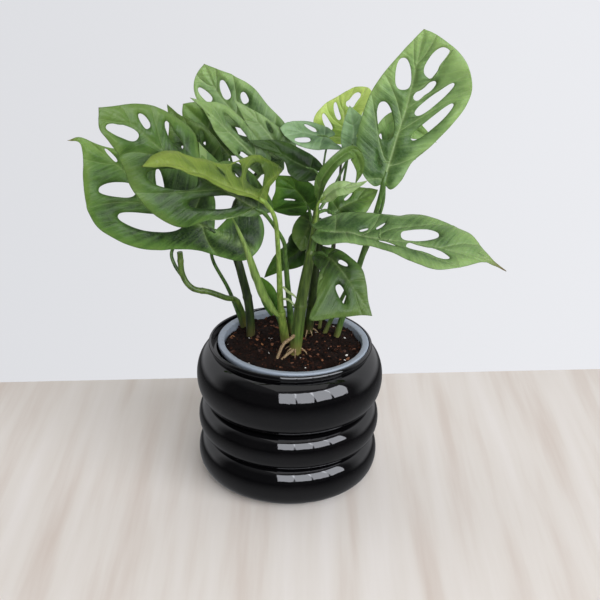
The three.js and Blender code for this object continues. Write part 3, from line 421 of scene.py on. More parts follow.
class Curve:
    """A smooth line through its points, read by share of its length."""

    def __init__(self, points):
        self.points = np.array([[*point, 0][:3] for point in points], float)
        before = 2 * self.points[0] - self.points[1]
        after = 2 * self.points[-1] - self.points[-2]
        self.padded = np.vstack([before, self.points, after])
        self.shares = np.linspace(0, 1, CURVE_STEPS * (len(points) - 1) + 1)
        steps = np.linalg.norm(np.diff(self.at(self.shares), axis=0), axis=1)
        self.reach = np.concatenate([[0], np.cumsum(steps)])
        self.length = self.reach[-1]

    def at(self, share):
        """Places at shares of the way through the points."""
        place = np.clip(np.atleast_1d(share), 0, 1) * (len(self.points) - 1)
        low = np.minimum(place.astype(int), len(self.points) - 2)
        t = (place - low)[:, None]
        p0, p1, p2, p3 = (self.padded[low + step] for step in range(4))
        lean1, lean2 = (p2 - p0) / 2, (p3 - p1) / 2
        bend = 2 * p1 - 2 * p2 + lean1 + lean2
        return p1 + t * (lean1 + t * (3 * (p2 - p1) - 2 * lean1 - lean2 + t * bend))

    def even(self, share):
        """Places and directions at shares of the length."""
        near = np.interp(np.atleast_1d(share) * self.length, self.reach, self.shares)
        ahead = self.at(np.minimum(near + 1e-4, 1)) - self.at(np.maximum(near - 1e-4, 0))
        return self.at(near), ahead / np.linalg.norm(ahead, axis=1)[:, None]


def ring_arc(ring):
    angles = np.pi * (np.arange(1, RING_STEPS) / RING_STEPS - 0.5)
    bulge = (ring["radius"] - ring["core"]) * np.cos(angles) ** RING_FULLNESS
    return list(zip(ring["core"] + bulge, ring["middle"] + ring["half"] * np.sin(angles)))


def smooth_line(points, steps):
    return [tuple(point[:2]) for point in Curve(points).even(np.linspace(0, 1, steps))[0]]


def pot_profile():
    inner = RIM_RADIUS - RIM_WALL
    rim = [
        (RIM_RADIUS - 2, POT_HEIGHT - 6.5), (RIM_RADIUS - 0.6, POT_HEIGHT - 4.5),
        (RIM_RADIUS, POT_HEIGHT - 2.6), (RIM_RADIUS - 0.6, POT_HEIGHT - 0.8),
        (RIM_RADIUS - 1.7, POT_HEIGHT), (inner + 0.5, POT_HEIGHT - 0.5),
        (inner, POT_HEIGHT - 2), (inner, POT_HEIGHT - 10),
    ]
    wall = [(RIM_RADIUS - POT_WALL, 66), (RIM_RADIUS - POT_WALL - 2, 30)]
    foot = [
        (0, 0.6), (FOOT_RADIUS - 5, 0.6), (FOOT_RADIUS - 3.5, 0), (FOOT_RADIUS - 1, 0), (FOOT_RADIUS, 1),
    ]
    floor_line = [(FOOT_RADIUS - POT_WALL, FLOOR_THICKNESS), (0, FLOOR_THICKNESS)]
    rings = [point for ring in RINGS for point in ring_arc(ring)]
    return foot + rings + smooth_line(rim, RIM_STEPS) + wall + floor_line


def turned_piece(name, profile, finish, facets=192, middle=(0, 0, 0), wander=0.0):
    points = [(radius * MM, 0, height * MM) for radius, height in profile]
    values = {"facets": facets, "wander": wander, "middle": Vector(middle) * MM, "finish": finish}
    piece = grow(name, path_mesh(name, points), TURNING, **values)
    piece.data.set_sharp_from_angle(angle=TURNED_EDGE)
    return piece


pot = turned_piece("pot_glazed", pot_profile(), GLAZE, wander=0.006)
wear(pot, "glazed_pot")

# %% [markdown]
# ## Nursery pot
# The plant is still in the grey plastic pot it was grown in. Only its lip shows, as a flat band with a
# soft inner edge, but the thin wall goes all the way down, so it has a real inside.

# %% Nursery pot
LINER_SHIFT, LINER_TOP, LINER_WALL = 2.4, 121.2, 1.2
LINER_LIP, LINER_MOUTH, LINER_FOOT = 63.7, 58, 46
LINER_STEPS, LINER_FACETS, LINER_WANDER = 40, 160, 0.004
LINER_BOTTOM = FLOOR_THICKNESS + 0.3
LINER_FLOOR = LINER_BOTTOM + 2.2


def liner_profile():
    lip = [
        (LINER_MOUTH + LINER_WALL, LINER_TOP - 8), (LINER_LIP - 1, LINER_TOP - 5),
        (LINER_LIP - 0.1, LINER_TOP - 2.5), (LINER_LIP, LINER_TOP - 0.8), (LINER_LIP - 1, LINER_TOP),
        (LINER_MOUTH + 1.6, LINER_TOP - 0.2), (LINER_MOUTH + 0.4, LINER_TOP - 0.7),
        (LINER_MOUTH, LINER_TOP - 2), (LINER_MOUTH - 0.4, LINER_TOP - 8),
    ]
    below = [(0, LINER_BOTTOM), (LINER_FOOT - 1, LINER_BOTTOM), (LINER_FOOT, LINER_BOTTOM + 1)]
    inside = [(LINER_FOOT - LINER_WALL, LINER_FLOOR), (0, LINER_FLOOR)]
    return below + smooth_line(lip, LINER_STEPS) + inside


def mark_inner(mesh, radius):
    """How near each point is to the mouth: 0 at the lip's outer edge, and 1 at the mouth."""
    places = np.array([vertex.co for vertex in mesh.vertices]) / MM
    out = np.hypot(places[:, 0] - LINER_SHIFT, places[:, 1])
    near = np.clip((LINER_LIP - out) / (LINER_LIP - radius), 0, 1) ** 2
    mark(mesh, "inner", near)


middle = (LINER_SHIFT, 0, 0)
liner = turned_piece("pot_nursery", liner_profile(), PLASTIC, LINER_FACETS, middle, LINER_WANDER)
mark_inner(liner.data, LINER_MOUTH)
wear(liner, "nursery_pot")

# %% [markdown]
# ## Soil
# Potting mix is dark peat with bark chips, white perlite and dry roots. A flat noise texture would read
# as cloth at this size, so the plug gets real relief, and a Geometry Nodes tree scatters crumbs over it.
# Each crumb is a small ball pushed out of round by noise, flattened, turned and sized at random from a
# fixed seed. Bark and perlite are the same tree with other sizes and finishes.

# %% Soil finishes
def peat():
    # Damp peat and coir: red brown on the crumbs, and near black on the plug between them, a painted
    # shade in the gaps.
    material, tree, shader = new_material("damp_peat")
    shade = add_node(tree, "ShaderNodeAttribute", attribute_name="shade").outputs["Fac"]
    mixed = add_node(tree, "ShaderNodeMath", [shade, object_noise(tree, 3, 3)], operation="MULTIPLY")
    stops = [(0.08, "#0c0705"), (0.3, "#1e100a"), (0.48, "#351c11"), (0.7, "#5c3520")]
    colour = add_node(tree, "ShaderNodeValToRGB", [mixed], stops)
    inputs = {"Height": object_noise(tree, 0.8, 4), "Distance": 0.25 * MM}
    bump = add_node(tree, "ShaderNodeBump", inputs)
    feed(tree, shader, {"Base Color": colour, "Normal": bump, "Roughness": 0.95, "IOR": 1.25})
    return material


def bark():
    # Pine bark chips: flaky, orange brown where freshly broken.
    material, tree, shader = new_material("pine_bark_chips")
    layered = object_noise(tree, 1.6, 3, (1, 1, 4))
    flake = add_node(tree, "ShaderNodeMath", [layered, 0.45], operation="MULTIPLY")
    shade = add_node(tree, "ShaderNodeAttribute", attribute_name="shade").outputs["Fac"]
    shade = add_node(tree, "ShaderNodeMath", [shade, 0.7, flake], operation="MULTIPLY_ADD")
    stops = [(0.0, "#24140e"), (0.45, "#4e2d1d"), (0.8, "#84502f"), (1.0, "#b07a4a")]
    colour = add_node(tree, "ShaderNodeValToRGB", [shade], stops)
    bump = add_node(tree, "ShaderNodeBump", {"Height": layered, "Distance": 0.3 * MM})
    feed(tree, shader, {"Base Color": colour, "Normal": bump, "Roughness": 0.8})
    return material


def perlite():
    # Expanded volcanic glass: chalk white and full of small pits.
    material, tree, shader = new_material("perlite")
    stops = [(0.3, "#b9b1a6"), (0.6, "#ece7df")]
    colour = add_node(tree, "ShaderNodeValToRGB", [object_noise(tree, 1.1, 3)], stops)
    inputs = {"Height": object_noise(tree, 0.7, 3), "Distance": 0.2 * MM}
    bump = add_node(tree, "ShaderNodeBump", inputs)
    feed(tree, shader, {"Base Color": colour, "Normal": bump, "Roughness": 0.85})
    return material


PEAT, BARK, PERLITE = peat(), bark(), perlite()
print("soil finishes:", PEAT.name, BARK.name, PERLITE.name)

# %% The scattering tree
# A crumb's lumps, its shorter side as a share of its longer one, and how far it tips over, in radians.
CRUMB_LUMPS, CRUMB_SIDE, CRUMB_TIP = 1.7, (0.6, 1.0), 0.7
LEVEL_ENOUGH = 0.5


def scatter_tree():
    inputs = {
        "Count": ("Int", 100), "Seed": ("Int", 1), "Smallest": ("Float", 1.0), "Largest": ("Float", 3.0),
        "Flatness": ("Float", 0.7), "Roundness": ("Int", 2), "Sink": ("Float", 0.3),
        "Finish": ("Material", None),
    }
    tree, given = new_tree("scattered_crumbs", inputs)
    # Places on the upper faces, as many as asked for.
    normal = add_node(tree, "GeometryNodeInputNormal")
    upward = add_node(tree, "ShaderNodeSeparateXYZ", [normal]).outputs[2]
    top = add_node(tree, "FunctionNodeCompare", [upward, LEVEL_ENOUGH], operation="GREATER_THAN")
    area = add_node(tree, "GeometryNodeInputMeshFaceArea")
    inputs = {"Geometry": given["Geometry"], "Selection": top, 2: area}
    total = add_node(tree, "GeometryNodeAttributeStatistic", inputs, domain="FACE").outputs["Sum"]
    density = add_node(tree, "ShaderNodeMath", [given["Count"], total], operation="DIVIDE")
    inputs = {"Mesh": given["Geometry"], "Selection": top, "Density": density, "Seed": given["Seed"]}
    spots = add_node(tree, "GeometryNodeDistributePointsOnFaces", inputs)
    # One crumb: a ball pushed out of round.
    inputs = {"Radius": 0.5, "Subdivisions": given["Roundness"]}
    ball = add_node(tree, "GeometryNodeMeshIcoSphere", inputs)
    cloud = add_node(tree, "ShaderNodeTexNoise", {"Scale": CRUMB_LUMPS, "Detail": 1.0}).outputs["Color"]
    push = add_node(tree, "ShaderNodeVectorMath", [cloud, (0.5, 0.5, 0.5)], operation="SUBTRACT")
    lump = add_node(tree, "GeometryNodeSetPosition", {"Geometry": ball, "Offset": push})
    # Its size, its turn and its shade are each drawn from a seed of their own.
    seeds = [add_node(tree, "ShaderNodeMath", [given["Seed"], i], operation="ADD") for i in (1, 2, 3, 4)]
    ends = [given["Smallest"], given["Largest"]]
    low, high = (add_node(tree, "ShaderNodeMath", [end, MM], operation="MULTIPLY") for end in ends)
    inputs = {2: low, 3: high, "Seed": seeds[0]}
    size = add_node(tree, "FunctionNodeRandomValue", inputs, data_type="FLOAT")
    inputs = {2: CRUMB_SIDE[0], 3: CRUMB_SIDE[1], "Seed": seeds[1]}
    side = add_node(tree, "FunctionNodeRandomValue", inputs, data_type="FLOAT")
    breadth = add_node(tree, "ShaderNodeMath", [size, side], operation="MULTIPLY")
    height = add_node(tree, "ShaderNodeMath", [size, given["Flatness"]], operation="MULTIPLY")
    scale = add_node(tree, "ShaderNodeCombineXYZ", [size, breadth, height])
    ends = (-CRUMB_TIP, -CRUMB_TIP, 0.0), (CRUMB_TIP, CRUMB_TIP, 2 * math.pi)
    inputs = {0: ends[0], 1: ends[1], "Seed": seeds[2]}
    turn = add_node(tree, "FunctionNodeRandomValue", inputs, data_type="FLOAT_VECTOR")
    inputs = {"Points": spots, "Instance": lump, "Rotation": turn, "Scale": scale}
    placed = add_node(tree, "GeometryNodeInstanceOnPoints", inputs)
    drop = add_node(tree, "ShaderNodeMath", [given["Sink"], given["Smallest"]], operation="MULTIPLY")
    drop = add_node(tree, "ShaderNodeMath", [drop, -MM], operation="MULTIPLY")
    down = add_node(tree, "ShaderNodeCombineXYZ", {2: drop})
    inputs = {"Instances": placed, "Translation": down, "Local Space": False}
    sunk = add_node(tree, "GeometryNodeTranslateInstances", inputs)
    inputs = {2: 0.0, 3: 1.0, "Seed": seeds[3]}
    shade = add_node(tree, "FunctionNodeRandomValue", inputs, data_type="FLOAT")
    inputs = {"Geometry": sunk, "Name": "shade", "Value": shade}
    marked = add_node(tree, "GeometryNodeStoreNamedAttribute", inputs, data_type="FLOAT", domain="INSTANCE")
    end_tree(tree, marked, given["Finish"])
    return tree


SCATTER = scatter_tree()
print("scattering tree:", len(SCATTER.nodes), "nodes")

# %% The plug and its crumbs
SOIL_TOP, SOIL_BOTTOM = 118, FLOOR_THICKNESS + 3.2
SOIL_RADIUS, SOIL_FOOT_RADIUS = 57, 43.6
# The top falls away to its rim, which is square for a little way down.
SOIL_DROP, SOIL_SHOULDER = 1, 5
# Two sizes of hump, as height, run each way and where they start, and then the finest grain.
SOIL_LUMPS = [(1.6, (9, 7), (1, 2)), (0.9, (3.7, 4.3), (0, math.pi / 2))]
SOIL_GRAIN, SOIL_GRAIN_RUN, SOIL_SINK = 0.9, 4, 0.5
SOIL_RINGS, SOIL_SIDES, SOIL_SHADE = 56, 150, 0.42


def soil_height(x, y):
    height = SOIL_TOP - SOIL_DROP * (math.hypot(x, y) / SOIL_RADIUS) ** 4
    for lump, runs, starts in SOIL_LUMPS:
        height += lump * math.sin(x / runs[0] + starts[0]) * math.sin(y / runs[1] + starts[1])
    return height + SOIL_GRAIN * noise.fractal(Vector((x, y, 0)) / SOIL_GRAIN_RUN, 0.8, 2.0, 4) - SOIL_SINK


def ring_faces(rings, sides):
    """Quads between rings of points, each ring starting where the last one ended."""
    faces = []
    for ring in range(rings - 1):
        for side in range(sides):
            here, beside = ring * sides + side, ring * sides + (side + 1) % sides
            faces.append((here, here + sides, beside + sides, beside))
    return faces


def soil_plug():
    rows = [(SOIL_RADIUS * (ring + 0.5) / SOIL_RINGS, None) for ring in range(SOIL_RINGS)]
    rows += [(SOIL_RADIUS, SOIL_TOP - SOIL_SHOULDER), (SOIL_FOOT_RADIUS, SOIL_BOTTOM), (1, SOIL_BOTTOM)]
    places = []
    for radius, height in rows:
        for side in range(SOIL_SIDES):
            angle = 2 * math.pi * side / SOIL_SIDES
            x, y = radius * math.cos(angle), radius * math.sin(angle)
            z = soil_height(x, y) if height is None else height
            places.append(((x + LINER_SHIFT) * MM, y * MM, z * MM))
    faces = ring_faces(len(rows), SOIL_SIDES)
    last = (len(rows) - 1) * SOIL_SIDES
    faces.append(tuple(range(SOIL_SIDES)))
    faces.append(tuple(reversed(range(last, last + SOIL_SIDES))))
    mesh = bpy.data.meshes.new("soil_plug")
    mesh.from_pydata(places, [], faces)
    mesh.shade_smooth()
    mesh.materials.append(PEAT)
    # The plug's low shade value makes the gaps between crumbs near black: painted shade.
    mark(mesh, "shade", np.full(len(places), SOIL_SHADE))
    return mesh


def join(name, pieces):
    """One object out of several, with each one's materials kept."""
    with bpy.context.temp_override(active_object=pieces[0], selected_editable_objects=pieces):
        bpy.ops.object.join()
    pieces[0].name = pieces[0].data.name = name
    return pieces[0]


CRUMBS = [
    ("coarse_peat", PEAT, dict(count=1100, seed=11, smallest=1.2, largest=3.4, flatness=0.75, roundness=2)),
    ("fine_peat", PEAT, dict(count=2600, seed=23, smallest=0.6, largest=1.5, flatness=0.8, roundness=1)),
    ("bark_chips", BARK, dict(count=120, seed=37, smallest=1.6, largest=5.0, flatness=0.4, roundness=2)),
    ("perlite_bits", PERLITE, dict(count=26, seed=5, smallest=1.4, largest=3.2, flatness=0.8, roundness=2)),
]
plug = soil_plug()
crumbs = [grow(name, plug, SCATTER, finish=finish, **sizes) for name, finish, sizes in CRUMBS]
soil = join("soil", [add_object("soil", plug)] + crumbs)
wear(soil, "potting_soil")

# %% [markdown]
# ## Stems, stalks and roots
# A vine stem is round, swells a little at each node, and has a pale ring there where an old leaf fell.
# One tree makes them all. It reads a path with a radius at each point, adds a swelling at even spaces,
# sweeps a circle along it, and lifts fine ridges that run lengthwise. The leaf stalks and the roots
# use the same tree with no swellings.

# %% Stem finishes
def green_stem(name, young, old, ring):
    # A living stem: waxy, with fine ridges along it, and browner at its rings.
    material, tree, shader = new_material(name)
    streak = object_noise(tree, 2.2, 3, (1, 1, 0.12))
    skin = add_node(tree, "ShaderNodeValToRGB", [streak], [(0.32, old), (0.62, young)])
    for label, strength in (("foot", 0.75), ("ring", 0.5)):
        share = add_node(tree, "ShaderNodeAttribute", attribute_name=label).outputs["Fac"]
        share = add_node(tree, "ShaderNodeMath", [share, strength], operation="MULTIPLY")
        skin = add_node(tree, "ShaderNodeMix", {0: share, 6: skin, 7: srgb(ring)}, data_type="RGBA")
    bump = add_node(tree, "ShaderNodeBump", {"Height": streak, "Distance": 0.12 * MM})
    feed(tree, shader, {"Base Color": skin, "Normal": bump, "Roughness": 0.38, "IOR": 1.45})
    flesh = {"Weight": 0.15, "Radius": (0.5, 1.0, 0.2), "Scale": 1.5 * MM}
    feed(tree, shader, {"Subsurface " + part: value for part, value in flesh.items()})
    return material


def dry_root():
    # Aerial and feeding roots: corky, straw to grey brown, with fine cracks across them.
    material, tree, shader = new_material("corky_root")
    crack = object_noise(tree, 1.2, 4, (1, 1, 1.6))
    stops = [(0.3, "#54402c"), (0.55, "#877050"), (0.75, "#b3a078")]
    colour = add_node(tree, "ShaderNodeValToRGB", [crack], stops)
    bump = add_node(tree, "ShaderNodeBump", {"Height": crack, "Distance": 0.2 * MM})
    feed(tree, shader, {"Base Color": colour, "Normal": bump, "Roughness": 0.8})
    return material


def weathered_cane():
    # A thin split cane, grey brown from damp, with the grain along it.
    material, tree, shader = new_material("weathered_split_cane")
    grain = object_noise(tree, 1.0, 4, (1, 1, 0.05))
    colour = add_node(tree, "ShaderNodeValToRGB", [grain], [(0.3, "#2a291f"), (0.7, "#55503d")])
    bump = add_node(tree, "ShaderNodeBump", {"Height": grain, "Distance": 0.1 * MM})
    feed(tree, shader, {"Base Color": colour, "Normal": bump, "Roughness": 0.7})
    return material


STEM_MID = green_stem("vine_stem_green", "#566c2e", "#314318", "#756838")
STEM_YOUNG = green_stem("vine_stem_young", "#869c48", "#566e2c", "#8a7b44")
# A darker copy of the stem green for the stems at the back of the plant: painted shade.
STEM_SHADED = green_stem("vine_stem_dark", "#32421c", "#1b250f", "#4c4526")
STALK_GREEN = green_stem("leaf_stalk_green", "#587638", "#334c1e", "#6c6438")
# A darker copy of the stalk green for the stalks at the back and low in the plant: painted shade.
STALK_SHADED = green_stem("leaf_stalk_dark", "#48632f", "#283b19", "#4c472a")
STALK_LIGHT = green_stem("leaf_stalk_light", "#7f9846", "#58702c", "#8a7b44")
PALE_SHEATH = green_stem("pale_leaf_sheath", "#b4c48c", "#8ea45c", "#a89c64")
ROOT, CANE_WOOD = dry_root(), weathered_cane()
print("stem finishes:", STEM_MID.name, STEM_YOUNG.name, STEM_SHADED.name)

# %% The stem tree
RIDGE_LUMPS, RIDGE_STRETCH = 420.0, (1.0, 1.0, 0.12)


def stem_tree():
    inputs = {
        "Sides": ("Int", 20), "Node Spacing": ("Float", 30.0), "Node Width": ("Float", 2.0),
        "Swell": ("Float", 0.0), "Ridge": ("Float", 0.1), "Finish": ("Material", None),
    }
    tree, given = new_tree("stem_along_a_path", inputs)
    curve = add_node(tree, "GeometryNodeMeshToCurve", {"Mesh": given["Geometry"]})
    # A bell curve round the middle of each space between nodes.
    swell = add_node(tree, "GeometryNodeSplineParameter").outputs["Length"]
    spacing = given["Node Spacing"]
    steps = [
        ("DIVIDE", MM), ("DIVIDE", spacing), ("FRACT", 0), ("SUBTRACT", 0.5), ("MULTIPLY", spacing),
        ("DIVIDE", given["Node Width"]), ("POWER", 2), ("MULTIPLY", -1), ("EXPONENT", 0),
        ("MULTIPLY", given["Swell"]),
    ]
    for operation, value in steps:
        swell = add_node(tree, "ShaderNodeMath", [swell, value], operation=operation)
    inputs = {"Geometry": curve, "Name": "ring", "Value": swell}
    marked = add_node(tree, "GeometryNodeStoreNamedAttribute", inputs, data_type="FLOAT", domain="POINT")
    # The radius of the path, swollen at the nodes.
    thick = add_node(tree, "GeometryNodeInputNamedAttribute", {"Name": "radius_mm"}, data_type="FLOAT")
    radius = swell
    for operation, value in (("ADD", 1), ("MULTIPLY", thick), ("MULTIPLY", MM)):
        radius = add_node(tree, "ShaderNodeMath", [radius, value], operation=operation)
    inputs = {"Resolution": given["Sides"], "Radius": 1.0}
    circle = add_node(tree, "GeometryNodeCurvePrimitiveCircle", inputs)
    inputs = {"Curve": marked, "Profile Curve": circle, "Scale": radius, "Fill Caps": True}
    tube = add_node(tree, "GeometryNodeCurveToMesh", inputs)
    # Fine ridges: noise drawn out along the stem.
    place = add_node(tree, "GeometryNodeInputPosition")
    drawn = add_node(tree, "ShaderNodeVectorMath", [place, RIDGE_STRETCH], operation="MULTIPLY")
    rise = add_node(tree, "ShaderNodeTexNoise", {"Vector": drawn, "Scale": RIDGE_LUMPS, "Detail": 1.0})
    for operation, value in (("SUBTRACT", 0.5), ("MULTIPLY", given["Ridge"]), ("MULTIPLY", MM)):
        rise = add_node(tree, "ShaderNodeMath", [rise, value], operation=operation)
    inputs = {0: add_node(tree, "GeometryNodeInputNormal"), "Scale": rise}
    lift = add_node(tree, "ShaderNodeVectorMath", inputs, operation="SCALE")
    ridged = add_node(tree, "GeometryNodeSetPosition", {"Geometry": tube, "Offset": lift})
    smooth = add_node(tree, "GeometryNodeSetShadeSmooth", {"Geometry": ridged})
    end_tree(tree, smooth, given["Finish"])
    return tree


STEM_RULE = stem_tree()
STEP_LENGTH, FEWEST_STEPS, FOOT_FADE, STEM_EDGE = 1.2, 12, 14, math.radians(60)


def stem_object(name, path, radii, finish, foot=0.0, bulbs=(), **sizes):
    """A stem along a path. Bulbs are (share of the length, extra thickness, breadth as a share)."""
    curve = Curve(path)
    shares = np.linspace(0, 1, max(FEWEST_STEPS, int(curve.length / STEP_LENGTH)))
    radius = np.interp(shares, np.linspace(0, 1, len(radii)), radii)
    for share, extra, breadth in bulbs:
        radius = radius * (1 + extra * np.exp(-((shares - share) / breadth) ** 2))
    places = curve.even(shares)[0] * MM
    mesh = path_mesh(name, places)
    mark(mesh, "radius_mm", radius)
    mark(mesh, "foot", foot * np.clip(1 - (places[:, 2] / MM - SOIL_TOP) / FOOT_FADE, 0, 1))
    piece = grow(name, mesh, STEM_RULE, finish=finish, **sizes)
    piece.data.set_sharp_from_angle(angle=STEM_EDGE)
    return piece


print("stem tree:", len(STEM_RULE.nodes), "nodes")

# %% Where the stems run
# Places from root to tip, and the radius from root to tip.
STEMS = {
    "stem_main": {
        "path": [
            [3, -17, 91], [4, -16, 114], [8, -17, 162], [14, -15, 202], [17, -13, 224], [18, -11, 242],
        ],
        "radii": [5.2, 5.1, 4.7, 3.9, 2.4],
    },
    "stem_young": {
        "path": [[-3, 5, 91], [-4, 3, 114], [-7, -6, 140], [-8, -9, 151]],
        "radii": [3.8, 3.8, 3.2],
    },
    "stem_left": {
        "path": [
            [-34, 13, 91], [-34, 13, 116], [-36, 12, 147], [-43, 11, 178], [-50, 14, 204],
            [-47, 16, 234], [-26, 16, 266],
        ],
        "radii": [3.8, 3.7, 3.3, 2.4],
    },
    "stem_cut": {
        "path": [
            [-36, 34, 92], [-38, 32, 114], [-46, 24, 143], [-56, 17, 150], [-69, 12, 157],
            [-83, 8, 162], [-91, 8, 174], [-93, 8, 194],
        ],
        "radii": [2.6, 2.4, 2.4, 2.4],
    },
    "stem_right": {
        "path": [[15, 23, 91], [15, 22, 114], [18, 10, 159], [20, 2, 193], [24, 0, 222]],
        "radii": [4, 3.8, 2.6],
    },
}

# The rolled new leaf, the cane that props the plant, and the roots that the main stem sends to the soil.
ROLLED_LEAF = {
    "path": [
        [-9, -9, 146], [-14, -11, 151], [-19, -12, 159], [-25, -14, 171], [-34, -19, 201],
        [-38, -20, 213], [-48, -24, 237],
    ],
    "radii": [1.6, 3, 3.7, 3.3, 2.8, 2.2, 1.4, 0.5],
}
CANE = {"path": [[34, 34, 91], [35, 34, 182], [38, 34, 277]], "radii": [1, 1]}
AERIAL_ROOTS = [
    {
        "path": [[6, -18, 136], [0, -22, 132], [-6, -26, 128], [-11, -31, 116], [-13, -33, 106]],
        "radii": [1.6, 1.1],
    },
    {
        "path": [[5, -18, 122], [0, -23, 120], [-6, -29, 117], [-10, -34, 113], [-12, -36, 105]],
        "radii": [1.3, 0.9],
    },
]

print("stems in the table:", len(STEMS))

# %% Make the stems
STEM_LOOKS = {
    "stem_main": (STEM_MID, dict(node_spacing=46, node_width=1.8, swell=0.14, ridge=0.35)),
    "stem_young": (STEM_YOUNG, dict(node_spacing=40, node_width=1.6, swell=0.1, ridge=0.25)),
    "stem_left": (STEM_SHADED, dict(node_spacing=42, node_width=1.5, swell=0.12, ridge=0.25)),
    "stem_cut": (STEM_MID, dict(node_spacing=36, node_width=1.5, swell=0.16, ridge=0.2)),
    "stem_right": (STEM_SHADED, dict(node_spacing=40, node_width=1.5, swell=0.12, ridge=0.2)),
}
# The dry sheaths of fallen leaves still cling to the young stem: paths, with radii.
SHEATHS = [
    {"path": [[-7, -5, 171], [-3, -8, 168], [2, -11, 166], [5, -12, 163]], "radii": [0.9, 1.3, 1, 0.3]},
    {"path": [[-8, -5, 160], [-3, -8, 161], [1, -11, 159], [4, -12, 154]], "radii": [0.9, 1.1, 0.8, 0.3]},
]
# Short pale roots stand round the foot of two stems: how many, and the seed that turns them.
ROOTLETS = {"stem_main": (5, 3), "stem_right": (6, 8)}
ROOTLET_RADII, ROOTLET_JITTER, ROOTLET_REACH, ROOTLET_RISE = [0.8, 0.7, 0.5, 0.3], 0.4, (3, 6), (3, 6)


def rootlets(stem, count, seed):
    """Thin roots that leave a stem just over the soil and bend down into it."""
    curve = Curve(stem["path"])
    shares = np.linspace(0, 1, 200)
    spots = curve.even(shares)[0]
    foot = spots[abs(spots[:, 2] - SOIL_TOP).argmin()]
    draw = np.random.default_rng(seed)
    roots = []
    jitter = draw.uniform(-ROOTLET_JITTER, ROOTLET_JITTER, count)
    for angle in np.linspace(0, 2 * math.pi, count, endpoint=False) + jitter:
        out = np.array([math.cos(angle), math.sin(angle), 0])
        reach = stem["radii"][0] + draw.uniform(*ROOTLET_REACH)
        rise = draw.uniform(*ROOTLET_RISE)
        steps = [(0.3 * reach, rise), (0.7 * reach, 2.5), (reach, 0.3), (reach + 1, -2)]
        path = [(foot * (1, 1, 0) + out * run + (0, 0, SOIL_TOP + up)).tolist() for run, up in steps]
        roots.append(stem_object("rootlet", path, ROOTLET_RADII, ROOT, sides=8, ridge=0.2))
    return roots


for name, (finish, look) in STEM_LOOKS.items():
    body = stem_object("vine_" + name, **STEMS[name], finish=finish, foot=1.0, **look)
    extras = []
    if name == "stem_young":
        extras = [stem_object("rag", **sheath, finish=PALE_SHEATH, sides=10) for sheath in SHEATHS]
    if name == "stem_main":
        extras = [stem_object("root", **root, finish=ROOT, sides=12, ridge=0.5) for root in AERIAL_ROOTS]
    if name in ROOTLETS:
        extras += rootlets(STEMS[name], *ROOTLETS[name])
    if extras:
        body = join("vine_" + name, [body] + extras)
    wear(body, name)
stick = stem_object("prop_cane", **CANE, finish=CANE_WOOD, sides=14, ridge=0.3)
wear(stick, "cane")

# %% [markdown]
# ## Leaves
# A leaf of this vine is a thin, slightly quilted sheet with a row of holes on each side of its rib.
# Modelling each by hand would hide the rule, so every leaf is drawn flat first, in [along, out]
# millimetres: a margin and a row of holes for each half. The side veins run midway between the holes.
# The flat drawing is meshed in rings, from each panel's border in to its hole, and is then bent onto
# the rib's curve. Veins are pressed in above and stand out below, as on the living leaf.
#
# The table says, for each leaf:
# - rib: places along the midrib, from stalk to tip
# - face: which way the upper side looks, all over, or at the stalk and at the tip
# - fold, curl: how far each half lifts at the rib, and how much more it turns by the margin, in degrees,
#   as [left, right] from the stalk to the tip, and left out where the half is flat
# - left, right: the margin of each half
# - left_holes, right_holes: its holes, as [from along, from out, to along, to out, width]
# - stalk, radii: the stalk's path from the stem to the leaf, and its radius along the way

# %% Where the leaves sit
FLAT = [[0, 0], [0, 0]]


def leaf_row(rib, face, left, left_holes, right, right_holes, stalk, radii, fold=FLAT, curl=FLAT):
    """A row of the table. A face that stays the same from stalk to tip is given once."""
    return {
        "rib": rib, "face": face if isinstance(face[0], list) else [face, face], "fold": fold, "curl": curl,
        "left": {"margin": left, "holes": left_holes}, "right": {"margin": right, "holes": right_holes},
        "stalk": {"path": stalk, "radii": radii},
    }


